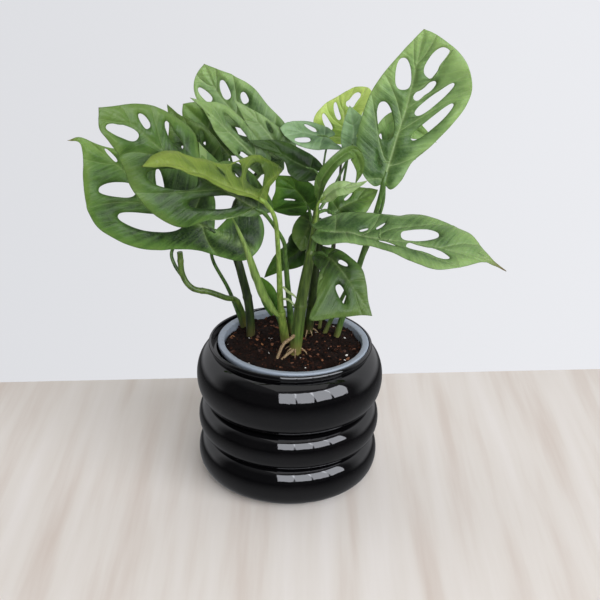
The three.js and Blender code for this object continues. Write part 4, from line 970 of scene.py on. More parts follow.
LEAVES = {
    "leaf_top_right": leaf_row(
        rib=[[70, -8, 263], [78, 0, 294], [87, 4, 330], [94, 0, 382]], face=[-0.15, -1, 0.1],
        fold=[[8, 8], [6, 6]], curl=[[-10, -10], [0, 0]],
        left=[[-4, 7], [3, 18], [20, 28], [40, 31], [64, 30], [83, 24], [103, 13], [116, 5]],
        left_holes=[[12, 6, 19, 10, 3], [33, 7, 61, 19, 13], [74, 6, 99, 11, 12]],
        right=[[-3, 7], [6, 13], [22, 17], [36, 26], [46, 31], [60, 38], [74, 44], [88, 45], [104, 38],
            [114, 26], [121, 10]],
        right_holes=[[39, 11, 73, 34, 7], [58, 8, 88, 31, 7], [69, 4, 86, 17, 6.5],
            [87, 12, 113, 20, 16]],
        stalk=[[37, 14, 91], [39, 13, 116], [56, 8, 189], [62, 4, 215], [68, -6, 249]],
        radii=[2.8, 2.5],
    ),
    "leaf_right": leaf_row(
        rib=[[20, -22, 227], [40, -28, 229], [61, -34, 227], [83, -40, 227], [113, -46, 225],
            [148, -50, 218], [165, -50, 208]], face=[0.05, -0.42, 0.9], fold=[[2, 2], [2, 2]],
        curl=[[-6, -6], [-4, -4]],
        left=[[-8, 8], [2, 16], [20, 23], [38, 27], [58, 29], [70, 33], [86, 31], [106, 25], [121, 20],
            [131, 8], [141, 2]],
        left_holes=[[32, 4, 38, 9, 2.5], [44, 10, 50, 18, 2.5], [65, 6, 94, 13, 13]],
        right=[[-4, 8], [6, 16], [18, 14], [34, 10], [48, 10], [62, 14], [82, 21], [98, 24], [116, 15],
            [130, 4], [141, 1.8]], right_holes=[[49, 1.8, 63, 5.5, 2], [71, 3, 105, 9, 10]],
        stalk=[[15, -14, 205], [17, -19, 216]], radii=[2.6, 2],
    ),
    "leaf_far_left": leaf_row(
        rib=[[-64, 2, 215], [-86, 6, 224], [-113, 14, 237], [-143, 22, 262], [-170, 26, 281],
            [-184, 26, 281]], face=[-0.1, -0.9, 0.45],
        fold=[[-10, -10], [-15, -8], [0, 0], [0, 0], [0, 0]],
        curl=[[-20, 0], [0, 0], [0, 0], [0, 0], [0, 0]],
        left=[[-4, -13], [-8, -24], [-17, -30], [-28, -28], [-36, -19], [-39, -6], [-36, 6], [-28, 13],
            [-13, 17], [6, 20], [20, 26], [35, 35], [50, 43], [70, 48], [85, 45], [96, 40], [111, 26],
            [119, 16], [126, 8], [132, 3]], left_holes=[[26, 4, 68, 30, 14], [71, 5, 95, 25, 12]],
        right=[[4, 10], [12, 26], [30, 36], [60, 35], [88, 23], [106, 9], [120, 3], [134, 1.5]],
        right_holes=[[54, 8, 71, 20, 6], [98, 2, 112, 4, 3]],
        stalk=[[-40, 31, 92], [-41, 30, 114], [-53, 24, 153], [-66, 15, 184], [-67, 7, 205]],
        radii=[2.2, 1.6],
    ),
    "leaf_left": leaf_row(
        rib=[[-22, -36, 245], [-56, -44, 268], [-95, -60, 299], [-116, -70, 321], [-138, -80, 336]],
        face=[-0.1, -0.85, 0.55], fold=[[-4, -25], [0, -8]], curl=[[-8, -20], [0, 0]],
        left=[[10, 8], [18, 12], [36, 25], [50, 39], [64, 43], [82, 42], [98, 36], [110, 28], [126, 23],
            [138, 19], [149, 13]],
        left_holes=[[24, 2.5, 58, 23, 10], [60, 5, 96, 21, 15], [117, 5, 145, 10, 9]],
        right=[[-6, 8], [4, 20], [22, 28], [40, 26], [52, 16], [60, 10], [66, 13], [72, 24], [82, 29],
            [99, 28], [117, 23], [128, 17], [137, 11], [146, 5]],
        right_holes=[[20, 8, 36, 18, 6], [82, 10, 107, 19, 7], [115, 6, 126, 10, 6]],
        stalk=[[1, 22, 91], [1, 20, 116], [-4, 0, 176], [-6, -8, 200], [-8, -18, 217]],
        radii=[3.2, 2.6, 1.8],
    ),
    "leaf_low_right": leaf_row(
        rib=[[23, -24, 209], [33, -40, 208], [47, -54, 194], [63, -60, 172]], face=[0.1, -0.9, 0.4],
        left=[[-5, 5], [7, 8], [23, 12], [36, 14], [48, 10], [60, 4]], left_holes=[[20, 3, 28, 6, 3.5]],
        right=[[-5, 6], [4, 11], [24, 15], [36, 28], [46, 42], [56, 25], [66, 7]],
        right_holes=[[36, 9, 52, 12, 5.5]], stalk=[[13, -15, 198], [18, -19, 206]], radii=[2, 1.6],
    ),
    "leaf_left_small": leaf_row(
        rib=[[-68, 31, 260], [-87, 37, 286.5], [-104, 35, 310.5]], face=[-0.2, -0.9, 0.3],
        fold=[[8, 8], [4, 4]], left=[[-4, 9], [10, 22], [30, 23], [48, 9]],
        left_holes=[[16, 5, 28, 11, 4]], right=[[-4, 8], [12, 17], [30, 14], [48, 4]],
        right_holes=[[18, 5, 30, 10, 4]],
        stalk=[[-84, 9, 162], [-98, 14, 180], [-100, 20, 192], [-85, 28, 203], [-75, 32, 222],
            [-71, 31, 243]], radii=[1.7, 1.2],
    ),
    "leaf_young": leaf_row(
        rib=[[-21, -46, 257], [-30, -52, 265], [-49, -62, 275], [-68, -74, 288], [-88, -86, 298],
            [-107, -96, 299]], face=[0.1, -0.5, 0.8],
        left=[[4, 2.5], [18, 4], [36, 4.5], [54, 4], [78, 4], [98, 2]],
        left_holes=[[40, 1.5, 56, 2.5, 0]],
        right=[[-2, 9], [-6, 21], [-13, 33], [-22, 46], [-7, 46], [7, 44], [19, 34], [34, 23], [52, 17],
            [70, 13], [84, 14], [99, 9]],
        right_holes=[[14, 9, 3, 37, 15], [28, 13, 25, 29, 9], [39, 9, 46, 15, 3]],
        stalk=[[-8, -8, 150], [-9, -10, 158], [-11, -28, 205], [-14, -41, 242]], radii=[2.8, 2],
    ),
    "leaf_folded": leaf_row(
        rib=[[19, -14, 250], [21, -22, 269], [31, -22, 284], [44, -14, 290], [51, -8, 275],
            [48, -6, 261]], face=[[-0.4, -0.9, 0.2], [0.3, -0.9, 0.2]], fold=[[20, 20], [20, 20]],
        curl=[[20, 20], [20, 20]], left=[[4, 3], [20, 5], [40, 5], [56, 5], [70, 4]],
        left_holes=[[30, 1.5, 44, 3, 0]], right=[[4, 3], [20, 5], [40, 5], [56, 6], [70, 5]],
        right_holes=[[30, 1.5, 44, 3, 0]], stalk=[[18, -12, 240], [18.5, -13, 245]], radii=[1.6, 1.2],
    ),
    "leaf_pale": leaf_row(
        rib=[[19, -24, 251], [31, -30, 265], [44, -34, 268], [55, -36, 274]], face=[0, -0.7, 0.7],
        fold=[[10, 10], [10, 10]], left=[[4, 2], [14, 4], [28, 5], [38, 2]],
        left_holes=[[14, 1, 20, 3, 0]], right=[[4, 3], [14, 8], [28, 8], [38, 3]],
        right_holes=[[14, 1, 20, 5, 0]], stalk=[[17, -14, 232], [18, -20, 242]], radii=[1.4, 1],
    ),
    "leaf_short_right": leaf_row(
        rib=[[33, 0, 234], [40, 2, 240], [53, 4, 246], [67, 6, 253]], face=[0.1, -0.6, 0.8],
        left=[[-4, 5], [8, 13], [22, 12], [34, 5]], left_holes=[[12, 4, 20, 8, 2.5]],
        right=[[-4, 5], [8, 14], [22, 14], [34, 6]], right_holes=[[10, 3, 20, 8, 0]],
        stalk=[[18, -11, 238], [26, -4, 238]], radii=[1.6, 1.2],
    ),
    "leaf_middle": leaf_row(
        rib=[[12, 8, 235], [5, 6, 247], [-5, 4, 257], [-15, 2, 264]], face=[-0.3, -0.9, 0.3],
        fold=[[-10, 20], [-10, 20]], left=[[-4, 9], [6, 27], [20, 29], [34, 10]],
        left_holes=[[11, 7, 20, 13, 2.5]], right=[[-3, 5], [6, 13], [18, 15], [32, 6]],
        right_holes=[[10, 3, 18, 9, 0]], stalk=[[17, -12, 224], [14, -2, 229]], radii=[1.6, 1.2],
    ),
    "leaf_behind_stem": leaf_row(
        rib=[[16, 13, 224], [10, 16, 209], [7, 14, 195]], face=[-0.2, -0.9, 0.2],
        fold=[[-10, -10], [0, 0]], left=[[-4, 6], [8, 11], [20, 10], [28, 4]],
        left_holes=[[10, 3, 16, 7, 0]], right=[[-4, 6], [8, 12], [20, 11], [28, 4]],
        right_holes=[[10, 3, 16, 7, 0]], stalk=[[16, -12, 211], [18, 2, 217]], radii=[1.5, 1.1],
    ),
    "leaf_grey_back": leaf_row(
        rib=[[26, 24, 290], [12, 26, 292], [-13, 22, 297]], face=[0, -0.6, 0.8],
        curl=[[-10, -10], [0, 0]], left=[[-6, 4], [-13, 8], [-2, 12], [12, 15], [26, 13], [35, 7]],
        left_holes=[[14, 6, 28, 9, 5]], right=[[-5, 4], [1, 9], [12, 12], [23, 11], [34, 7]],
        right_holes=[[10, 4, 20, 8, 4]], stalk=[[18, -8, 243], [21, 4, 257], [24, 19, 277]],
        radii=[1.1, 0.9],
    ),
    "leaf_yellow_back": leaf_row(
        rib=[[45, 58, 281], [39, 64, 301], [40, 64, 318]], face=[0, -0.9, 0.4],
        left=[[-4, 8], [4, 20], [18, 26], [26, 17], [32, 8]],
        left_holes=[[10, 13, 22, 17, 5], [16, 4, 29, 7, 4]],
        right=[[0, 8], [16, 15], [32, 23], [43, 20], [44, 9]],
        right_holes=[[10, 4, 18, 9, 3], [26, 4, 39, 12, 8]],
        stalk=[[24, 32, 91], [25, 31, 116], [34, 38, 192], [43, 50, 260]], radii=[1.8, 1.3],
    ),
    "leaf_right_back": leaf_row(
        rib=[[45, 18, 282], [46, 22, 297], [42, 20, 317]], face=[0, -1, 0.2],
        left=[[-3, 6], [10, 10], [24, 7]], left_holes=[[10, 2, 16, 6, 0]],
        right=[[-3, 8], [10, 13], [24, 9]], right_holes=[[10, 3, 18, 8, 3]],
        stalk=[[21, -9, 241], [29, -1, 252], [39, 12, 269]], radii=[1.3, 1],
    ),
    "leaf_top_left": leaf_row(
        rib=[[-9, 26, 271], [-32, 36, 290], [-56, 44, 309], [-68, 48, 325], [-75, 48, 341]],
        face=[-0.1, -0.9, 0.4], fold=[[0, 10], [0, 10]],
        left=[[-6, 8], [8, 16], [30, 20], [52, 20], [70, 18], [83, 17], [91, 13], [97, 7]],
        left_holes=[[34, 6, 50, 12, 5], [73, 8, 86, 12, 6]],
        right=[[-6, 8], [4, 17], [20, 21], [37, 22], [54, 25], [70, 23], [82, 18], [90, 13], [96, 6]],
        right_holes=[[52, 12, 62, 16, 6], [66, 4, 83, 8, 7]], stalk=[[-25, 19, 264], [-17, 23, 267]],
        radii=[1.8, 1.4],
    ),
    "leaf_upper_left": leaf_row(
        rib=[[-26, 0, 274], [-46, -6, 295], [-64, -16, 316], [-79, -28, 332]], face=[0.1, -0.8, 0.6],
        left=[[-4, 8], [14, 10], [30, 10], [42, 9], [52, 7], [62, 3], [71, 1]],
        left_holes=[[10, 3, 22, 7, 4]],
        right=[[-4, 8], [8, 12], [20, 13], [34, 15], [48, 15], [60, 11], [70, 5]],
        right_holes=[[20, 5, 51, 8, 5]], stalk=[[-35, 14, 252], [-31, 8, 259], [-26, 3, 267]],
        radii=[1.8, 1.4],
    ),
    "leaf_upper_middle": leaf_row(
        rib=[[-9, 18, 278], [-27, 22, 298], [-39, 22, 311], [-50, 20, 320]], face=[0.1, -0.9, 0.4],
        left=[[-3, 6], [10, 11], [27, 10], [45, 6]], left_holes=[[14, 3, 24, 6, 0]],
        right=[[-3, 6], [8, 11], [22, 9], [34, 6], [46, 2]], right_holes=[[18, 2.5, 28, 5, 3]],
        stalk=[[-30, 16, 260], [-20, 17, 264], [-11, 16, 271]], radii=[1.6, 1.2],
    ),
    "leaf_back_left": leaf_row(
        rib=[[-54, 42, 267], [-73, 46, 289], [-92, 44, 309]], face=[-0.1, -0.9, 0.4],
        left=[[-4, 8], [10, 17], [28, 16], [44, 11], [52, 6]], left_holes=[[12, 4, 22, 10, 4]],
        right=[[-4, 8], [10, 17], [28, 19], [43, 15], [52, 7]], right_holes=[[12, 4, 22, 9, 4]],
        stalk=[[-46, 18, 240], [-49, 30, 252]], radii=[1.5, 1.1],
    ),
    "leaf_dark_middle": leaf_row(
        rib=[[17, -4, 270], [1, -1, 276], [-18, -1, 287], [-37, -5, 294]], face=[0, -0.85, 0.5],
        left=[[-4, 5], [8, 12], [18, 11], [27, 4], [50, 3]], left_holes=[[10, 3, 21, 7, 0]],
        right=[[-4, 5], [10, 11], [30, 10], [50, 3]], right_holes=[[14, 2, 26, 6, 0]],
        stalk=[[19, -10, 244], [19, -7, 258]], radii=[1.3, 1],
    ),
    "leaf_low_left": leaf_row(
        rib=[[-46, 22, 201], [-56, 26, 190], [-69, 26, 188]], face=[-0.1, -0.6, 0.8],
        left=[[-2, 4], [8, 7], [20, 4]], left_holes=[[8, 1, 14, 4, 0]],
        right=[[-2, 4], [8, 8], [20, 5]], right_holes=[[8, 1, 14, 5, 0]],
        stalk=[[-46, 12, 198], [-45, 18, 200]], radii=[1.3, 1],
    ),
    "leaf_low_small": leaf_row(
        rib=[[-14, 8, 142], [-20, 11, 156], [-26, 11, 172]], face=[-0.2, -0.9, 0.3],
        left=[[-2, 4], [8, 7], [22, 6], [31, 2]], left_holes=[[8, 1, 14, 4, 0]],
        right=[[-2, 4], [8, 8], [22, 7], [31, 2]], right_holes=[[8, 1, 14, 5, 0]],
        stalk=[[-4, 3, 122], [-9, 5, 132]], radii=[1.4, 1],
    ),
    "leaf_low_back": leaf_row(
        rib=[[12, 26, 204], [3, 32, 187], [-10, 34, 177], [-24, 32, 163]], face=[0, -0.7, 0.7],
        left=[[-3, 5], [8, 13], [26, 12], [46, 5]], left_holes=[[12, 3, 24, 7, 0]],
        right=[[-3, 5], [8, 13], [26, 12], [46, 5]], right_holes=[[12, 3, 24, 7, 0]],
        stalk=[[20, 3, 190], [19, 12, 196], [16, 21, 201]], radii=[1.5, 1.1],
    ),
    "leaf_curled_right": leaf_row(
        rib=[[72, 12, 258], [73, 22, 281], [83, 24, 302], [99, 20, 297], [112, 14, 291]],
        face=[-0.3, -0.9, 0.2], fold=[[20, 20], [20, 20]], curl=[[20, 20], [20, 20]],
        left=[[2, 4], [16, 11], [40, 14], [60, 9], [74, 3]], left_holes=[[20, 4, 36, 9, 4]],
        right=[[2, 4], [16, 11], [40, 14], [60, 9], [74, 3]], right_holes=[[20, 4, 36, 9, 4]],
        stalk=[[28, 22, 91], [29, 20, 116], [57, 17, 186], [65, 13, 212], [72, 10, 240]],
        radii=[2.2, 1.5],
    ),
}

print("leaves in the table:", len(LEAVES))

# %% The flat drawing
CURL_SPAN = 40
VEIN_WIDTH = 2.6
VEIN_SLOPES = (-0.6, 1.2)
VEIN_SETBACK = 0.6
VEIN_BEND = (0.32, 0.62)
# The veins beyond the last hole at each end, as shares of the way on from it.
FIRST_VEIN, LAST_VEIN, VEIN_TIP_GAP = (0.45, 0.62), 0.4, 4
HOLE_FULLNESS = 0.8
HOLE_TAPER = 0.2
HOLE_OVERSHOOT = 0.2
GAP_SHARES = (0.2, 0.8)


def mix(start, end, share):
    return start + (end - start) * share


def hole_frame(hole):
    """Middle, half length and axis of a hole."""
    start, end = np.array(hole[0:2], float), np.array(hole[2:4], float)
    half = np.linalg.norm(end - start) / 2
    return (start + end) / 2, half, (end - start) / (2 * half)


def gap_between(below, above):
    """The place in the gap between two holes that the vein between them runs through."""
    start, end = hole_frame(below)[0], hole_frame(above)[0]
    apart = np.linalg.norm(end - start)
    way = (end - start) / apart
    reach = []
    for hole in (below, above):
        _, half, axis = hole_frame(hole)
        reach.append(math.hypot(half * (way @ axis), hole[4] / 2 * (way[0] * axis[1] - way[1] * axis[0])))
    spacing = (apart + reach[0] - reach[1]) / 2
    return start + way * min(max(spacing, GAP_SHARES[0] * apart), GAP_SHARES[1] * apart)


def margin_share(margin, hole):
    """Where on the margin, as a share of it, a hole's line would come out."""
    start, end = np.array(hole[0:2]), np.array(hole[2:4])
    shares = np.arange(100) / 100
    misses = np.linalg.norm(margin.at(shares)[:, :2] - (end + HOLE_OVERSHOOT * (end - start)), axis=1)
    return shares[misses.argmin()]


def side_veins(length, margin, holes):
    """The side veins of one half, midway between its holes, as (root, end, place passed)."""
    lines = []
    for hole in holes:
        slope = min(max((hole[2] - hole[0]) / (hole[3] - hole[1]), VEIN_SLOPES[0]), VEIN_SLOPES[1])
        root = min(max(hole[0] - VEIN_SETBACK * slope * hole[1], 1), length - VEIN_TIP_GAP)
        lines.append((root, margin_share(margin, hole)))
    veins = [(lines[0][0] * FIRST_VEIN[0], lines[0][1] * FIRST_VEIN[1], None)]
    for place in range(1, len(lines)):
        below, above = holes[place - 1], holes[place]
        push = above[4] ** 2 / (above[4] ** 2 + below[4] ** 2)
        root = (lines[place - 1][0] + lines[place][0]) / 2
        veins.append((root, mix(lines[place - 1][1], lines[place][1], push), gap_between(below, above)))
    veins.append((mix(lines[-1][0], length, LAST_VEIN), mix(lines[-1][1], 1, LAST_VEIN), None))
    return veins


def vein_points(margin, vein, shares):
    """Places along a side vein, a curve with one bend."""
    root, end, past = vein
    tip = margin.at(end)[0, :2]
    bend = np.array([mix(root, tip[0], VEIN_BEND[0]), tip[1] * VEIN_BEND[1]])
    if past is not None:
        bend = 2 * past - (np.array([root, 0]) + tip) / 2
    s = np.asarray(shares)[:, None]
    return (1 - s) ** 2 * np.array([root, 0]) + 2 * s * (1 - s) * bend + s ** 2 * tip


def hole_points(hole, border):
    """The points of a hole's edge that face the points of the border round it."""
    centre, half, axis = hole_frame(hole)
    away = border - centre
    ahead = away @ axis / half
    beside = (away[:, 1] * axis[0] - away[:, 0] * axis[1]) / (hole[4] / 2)
    angle = np.arctan2(beside, ahead)
    cosine, sine = np.cos(angle), np.sin(angle)
    reach = half * np.sign(cosine) * abs(cosine) ** HOLE_FULLNESS
    breadth = hole[4] / 2 * np.sign(sine) * abs(sine) ** HOLE_FULLNESS * (1 - HOLE_TAPER * cosine)
    room = np.linalg.norm(away, axis=1) - VEIN_WIDTH / 2
    share = np.minimum(1, room / np.hypot(reach, breadth))[:, None]
    along = axis * reach[:, None] + np.array([-axis[1], axis[0]]) * breadth[:, None]
    return centre + share * along


print("flat drawing ready for", len(LEAVES), "leaves")

# %% The mesh of the flat drawing
VEIN_STEPS = 14
VEIN_LEAN = 0.5
MARGIN_STEP = 1.6
RIB_STEP = 2.5
PANEL_RINGS = 8
RING_CROWDING = 1.6


class FlatLeaf:
    """A leaf drawn flat: points as [along, signed out], triangles, and the lines of veins and edges."""

    def __init__(self, leaf):
        self.rib = Curve(leaf["rib"])
        self.length = self.rib.length
        self.points, self.known, self.faces = [], {}, []
        self.edges, self.veins, self.margins = [], [], []
        halves = []
        for side, half in ((-1, leaf["left"]), (1, leaf["right"])):
            margin = Curve([[0, 0]] + half["margin"] + [[self.length, 0]])
            halves.append((side, margin, side_veins(self.length, margin, half["holes"]), half["holes"]))
        stops = {round(vein[0], 4) for half in halves for vein in half[2]}
        stops |= {round(s, 4) for s in np.arange(RIB_STEP, self.length - 1, RIB_STEP)}
        for half in halves:
            self.draw_half(*half, sorted(stops))

    def corner(self, along, out):
        key = (round(along, 2), round(out, 2))
        if key not in self.known:
            self.known[key] = len(self.points)
            self.points.append((along, out))
        return self.known[key]

    def draw_half(self, side, margin, veins, holes, stops):
        rows = [(0, 0, None)] + veins + [(self.length, 1, None)]
        rings = np.linspace(0, 1, VEIN_STEPS + 1)
        for row in range(len(rows) - 1):
            low, high = rows[row], rows[row + 1]
            first, last = row == 0, row == len(rows) - 2
            border = [[[0, 0]]] if first else [vein_points(margin, low, rings[:-1])]
            stretch = margin.at(np.linspace(low[1], high[1], 40))[:, :2]
            steps = max(2, int(np.linalg.norm(np.diff(stretch, axis=0), axis=1).sum() / MARGIN_STEP))
            shares = np.linspace(low[1], high[1], steps + 1)[:-1]
            outside = margin.at(shares[1:] if first else shares)[:, :2]
            border.append(outside)
            if not last:
                border.append(vein_points(margin, high, rings[:0:-1]))
            border.append([[high[0], 0]])
            between = [stop for stop in stops if low[0] + 0.05 < stop < high[0] - 0.05]
            border += [[[stop, 0]] for stop in reversed(between)]
            self.margins.append(np.vstack([outside, margin.at(high[1])[:, :2]]) * (1, side))
            self.edges.append(self.margins[-1])
            if not first:
                self.veins.append(vein_points(margin, low, np.linspace(0, 1, 40)) * (1, side))
            hole = None if first or last or not holes[row - 1][4] else holes[row - 1]
            self.panel(np.vstack(border), hole, side)

    def panel(self, border, hole, side):
        """Rings of faces from the border in to the hole, or to one middle point, closest by the border."""
        inner = hole_points(hole, border) if hole else np.repeat(border.mean(axis=0)[None], len(border), 0)
        if hole:
            self.edges.append(inner * (1, side))
        rings = []
        for ring in range(PANEL_RINGS + 1):
            places = mix(border, inner, (ring / PANEL_RINGS) ** RING_CROWDING)
            rings.append([self.corner(along, side * out) for along, out in places])
        for outer, closer in zip(rings, rings[1:]):
            for place in range(len(border)):
                after = (place + 1) % len(border)
                self.face([outer[place], outer[after], closer[after], closer[place]], side)

    def face(self, corners, side):
        kept = [corner for place, corner in enumerate(corners) if corner != corners[place - 1]]
        if len(kept) > 2:
            self.faces.append(kept[::-1] if side < 0 else kept)


def nearest(points, lines):
    """Distance from each point to the nearest of some lines of places."""
    best = np.full(len(points), 1e3)
    for line in lines:
        for start, end in zip(line[:-1], line[1:]):
            way = end - start
            share = np.clip(((points - start) @ way) / max(way @ way, 1e-9), 0, 1)[:, None]
            best = np.minimum(best, np.linalg.norm(points - start - share * way, axis=1))
    return best


sample = FlatLeaf(LEAVES["leaf_top_right"])
print("one leaf drawn flat:", len(sample.points), "points,", len(sample.faces), "faces")

# %% Bend the drawing onto its rib
BLADE_THICKNESS = 0.55
# The sheet waves along its margin, puckers between its veins, and crumples: heights, and how far each runs.
WAVE, WAVES, WAVE_SPAN, WAVE_FULLNESS = 0.9, 2.6, 35, 1.5
LEAF_PHASE, LEFT_PHASE = 1.7, 2.0
QUILT, QUILT_RUN, QUILT_EDGE, QUILT_RIB = 1.7, 4.5, 4, 1.3
CRUMPLE, CRUMPLE_RUN, CRUMPLE_STEP = 1.0, 13, 9
# Veins get thinner away from the rib, and the rib towards the tip.
VEIN_THINNING, VEIN_SPAN, RIB_THINNING = 0.55, 40, 0.75
# Half widths of the rib and of a side vein, their depths above, and how far they stand out below.
RIB_LINE, VEIN_LINE = 1.3, 0.7
RIB_DEPTH, VEIN_DEPTH, RIB_RISE, VEIN_RISE = 0.5, 0.5, 0.9, 0.4
# For colour: the half width at the rib, then the strength and the half width at a side vein.
VEIN_MARK, HALO_MARK = (0.7, 0.6, 0.35), (3, 0.7, 1.8)
# How far the dark edge line and the painted light of the lit rim run in, and the least dry tip.
EDGE_MARK, LIT_RIM_MARK, LEAST_TIP = 0.6, 6, 0.01
# The flat drawing as UVs: millimetres to one unit, and how much the streaks are drawn out.
DRAWING_UNIT, STREAK_STRETCH = 100, 0.1


def station(pairs, shares, half):
    """The values at shares of the way through evenly spaced [left, right] pairs."""
    pairs = np.array(pairs, float)
    places = np.linspace(0, 1, len(pairs))
    left, right = (np.interp(shares, places, pairs[:, side]) for side in (0, 1))
    return np.where(half == 0, left, right)


def bend(leaf, rib, points):
    """Places in the frame of flat points."""
    along, out = points[:, 0], points[:, 1]
    share = np.clip(along / rib.length, 0, 1)
    spot, ahead = rib.even(share)
    spot = spot + ahead * (along - share * rib.length)[:, None]
    start, end = (np.array(face, float) for face in leaf["face"])
    up = mix(start, end, share[:, None])
    up = up - ahead * (up * ahead).sum(axis=1)[:, None]
    up = up / np.linalg.norm(up, axis=1)[:, None]
    across = np.cross(ahead, up)
    half = (out >= 0).astype(int)
    lift = np.radians(station(leaf["fold"], share, half))
    turn = np.radians(station(leaf["curl"], share, half)) / CURL_SPAN
    turn = np.where(abs(turn) < 1e-5, 1e-5, turn)
    reach = abs(out)
    sideways = (np.sin(lift + turn * reach) - np.sin(lift)) / turn
    height = (np.cos(lift) - np.cos(lift + turn * reach)) / turn
    return spot + across * (np.sign(out) * sideways)[:, None] + up * height[:, None]


def corner_normals(places, faces):
    """Area-weighted normals of the points of a sheet."""
    normals = np.zeros_like(places)
    triangles = np.array([(f[0], f[i], f[i + 1]) for f in faces for i in range(1, len(f) - 1)])
    a, b, c = (places[triangles[:, i]] for i in range(3))
    flat = np.cross(b - a, c - a)
    for i in range(3):
        np.add.at(normals, triangles[:, i], flat)
    return normals / np.maximum(np.linalg.norm(normals, axis=1), 1e-9)[:, None]


def soft_line(distance, half_width):
    """A line that is 1 along its middle and fades out over its half width."""
    return np.exp(-((distance / half_width) ** 2))


def leaf_relief(flat, points, seed, dry_tip):
    """Heights of the upper and lower face over the plain sheet, and the marks for colour."""
    along, out = points[:, 0], abs(points[:, 1])
    run = np.clip(along / flat.length, 0, 1)
    vein, edge, margin = (nearest(points, lines) for lines in (flat.veins, flat.edges, flat.margins))
    thin = 1 - VEIN_THINNING * np.clip(out / VEIN_SPAN, 0, 1)
    taper = 1 - RIB_THINNING * run
    rib_line = soft_line(out, RIB_LINE)
    vein_line = soft_line(vein, VEIN_LINE) * thin
    near_line = np.minimum(vein, out * QUILT_RIB)
    quilt = (1 - soft_line(near_line, QUILT_RUN)) * np.clip(edge / QUILT_EDGE, 0, 1)
    phase = seed * LEAF_PHASE + np.where(points[:, 1] < 0, LEFT_PHASE, 0.0)
    ripple = np.sin(along / flat.length * 2 * np.pi * WAVES + phase)
    ripple = ripple * np.clip(out / WAVE_SPAN, 0, 1) ** WAVE_FULLNESS
    spots = [Vector((x, y, seed * CRUMPLE_STEP)) / CRUMPLE_RUN for x, y in points]
    crumple = np.array([noise.fractal(spot, 0.9, 2.0, 2) for spot in spots])
    sheet = QUILT * quilt + WAVE * ripple + CRUMPLE * crumple
    above = sheet - RIB_DEPTH * rib_line * taper - VEIN_DEPTH * vein_line
    below = sheet - RIB_RISE * rib_line * taper - VEIN_RISE * vein_line
    # The stalk shade is painted shade towards the stalk, and the rim band is painted light along the
    # margin.
    marks = {"edge": soft_line(edge, EDGE_MARK), "rim": soft_line(margin, LIT_RIM_MARK), "stalk_shade": 1 - run}
    marks["dry"] = soft_line(flat.length - along, max(dry_tip, LEAST_TIP))
    for label, (width, strength, vein_width), fade in (("vein", VEIN_MARK, taper), ("halo", HALO_MARK, 1)):
        side_vein = strength * soft_line(vein, vein_width) * thin
        marks[label] = np.maximum(soft_line(out, width) * fade, side_vein)
    return above, below, marks


# How far the brown of a dried tip runs in, on the leaves that have one.
DRY_TIPS = {"leaf_right": 13, "leaf_far_left": 5}


def blade_object(name, leaf, finish, tone_and_shade, seed):
    """The leaf's blade: an upper and a lower sheet joined along every edge."""
    flat = FlatLeaf(leaf)
    points = np.array(flat.points)
    places = bend(leaf, flat.rib, points)
    normals = corner_normals(places, flat.faces)
    above, below, marks = leaf_relief(flat, points, seed, DRY_TIPS.get(name, 0))
    upper = places + normals * (above + BLADE_THICKNESS / 2)[:, None]
    lower = places + normals * (below - BLADE_THICKNESS / 2)[:, None]
    count = len(points)
    sides = {}
    faces = []
    for face in flat.faces:
        faces.append(face)
        faces.append([corner + count for corner in reversed(face)])
        for start, end in zip(face, face[1:] + face[:1]):
            sides[(start, end)] = True
    for start, end in sides:
        if (end, start) not in sides:
            faces.append([end, start, start + count, end + count])
    mesh = bpy.data.meshes.new(name)
    mesh.from_pydata((np.vstack([upper, lower]) * MM).tolist(), [], faces)
    mesh.shade_smooth()
    marks["under"] = np.concatenate([np.zeros(count), np.ones(count)])
    # Each leaf's tone, which also paints in the light and shade where it sits.
    marks["tone_and_shade"] = np.full(count, tone_and_shade)
    for label, values in marks.items():
        mark(mesh, label, np.concatenate([values, values]) if len(values) == count else values)
    corners = np.empty(len(mesh.loops), int)
    mesh.loops.foreach_get("vertex_index", corners)
    drawing = np.vstack([points, points])[corners] / DRAWING_UNIT
    mesh.uv_layers.new(name="drawing").data.foreach_set("uv", drawing.astype(np.float32).ravel())
    across = drawing * (1, STREAK_STRETCH) - abs(drawing[:, 1:]) * (VEIN_LEAN, 0)
    mesh.uv_layers.new(name="across_veins").data.foreach_set("uv", across.astype(np.float32).ravel())
    mesh.materials.append(finish)
    return add_object(name, mesh), flat


print("bending and relief ready")

# %% [markdown]
# ## Leaf finish
# A leaf has a satin wax over green flesh that lets a little light through. The colour runs from a
# painted shade near the stalk to a yellower tip and a rim made paler by painted light, with streaks that
# follow the side veins as a painted shade of the folds between them, and a paler line along each vein.
# The underside is duller and paler. Two leaves have a dry brown tip. A net of veinlets is drawn by a
# Voronoi pattern on the leaf's own flat drawing. Each leaf also has a tone of its own, which also paints
# in the light and shade where it sits.

# %% Leaf finishes
VEINLET_CELL, STREAKS = 3.2, 30.0
DRY_BROWN = "#64542f"


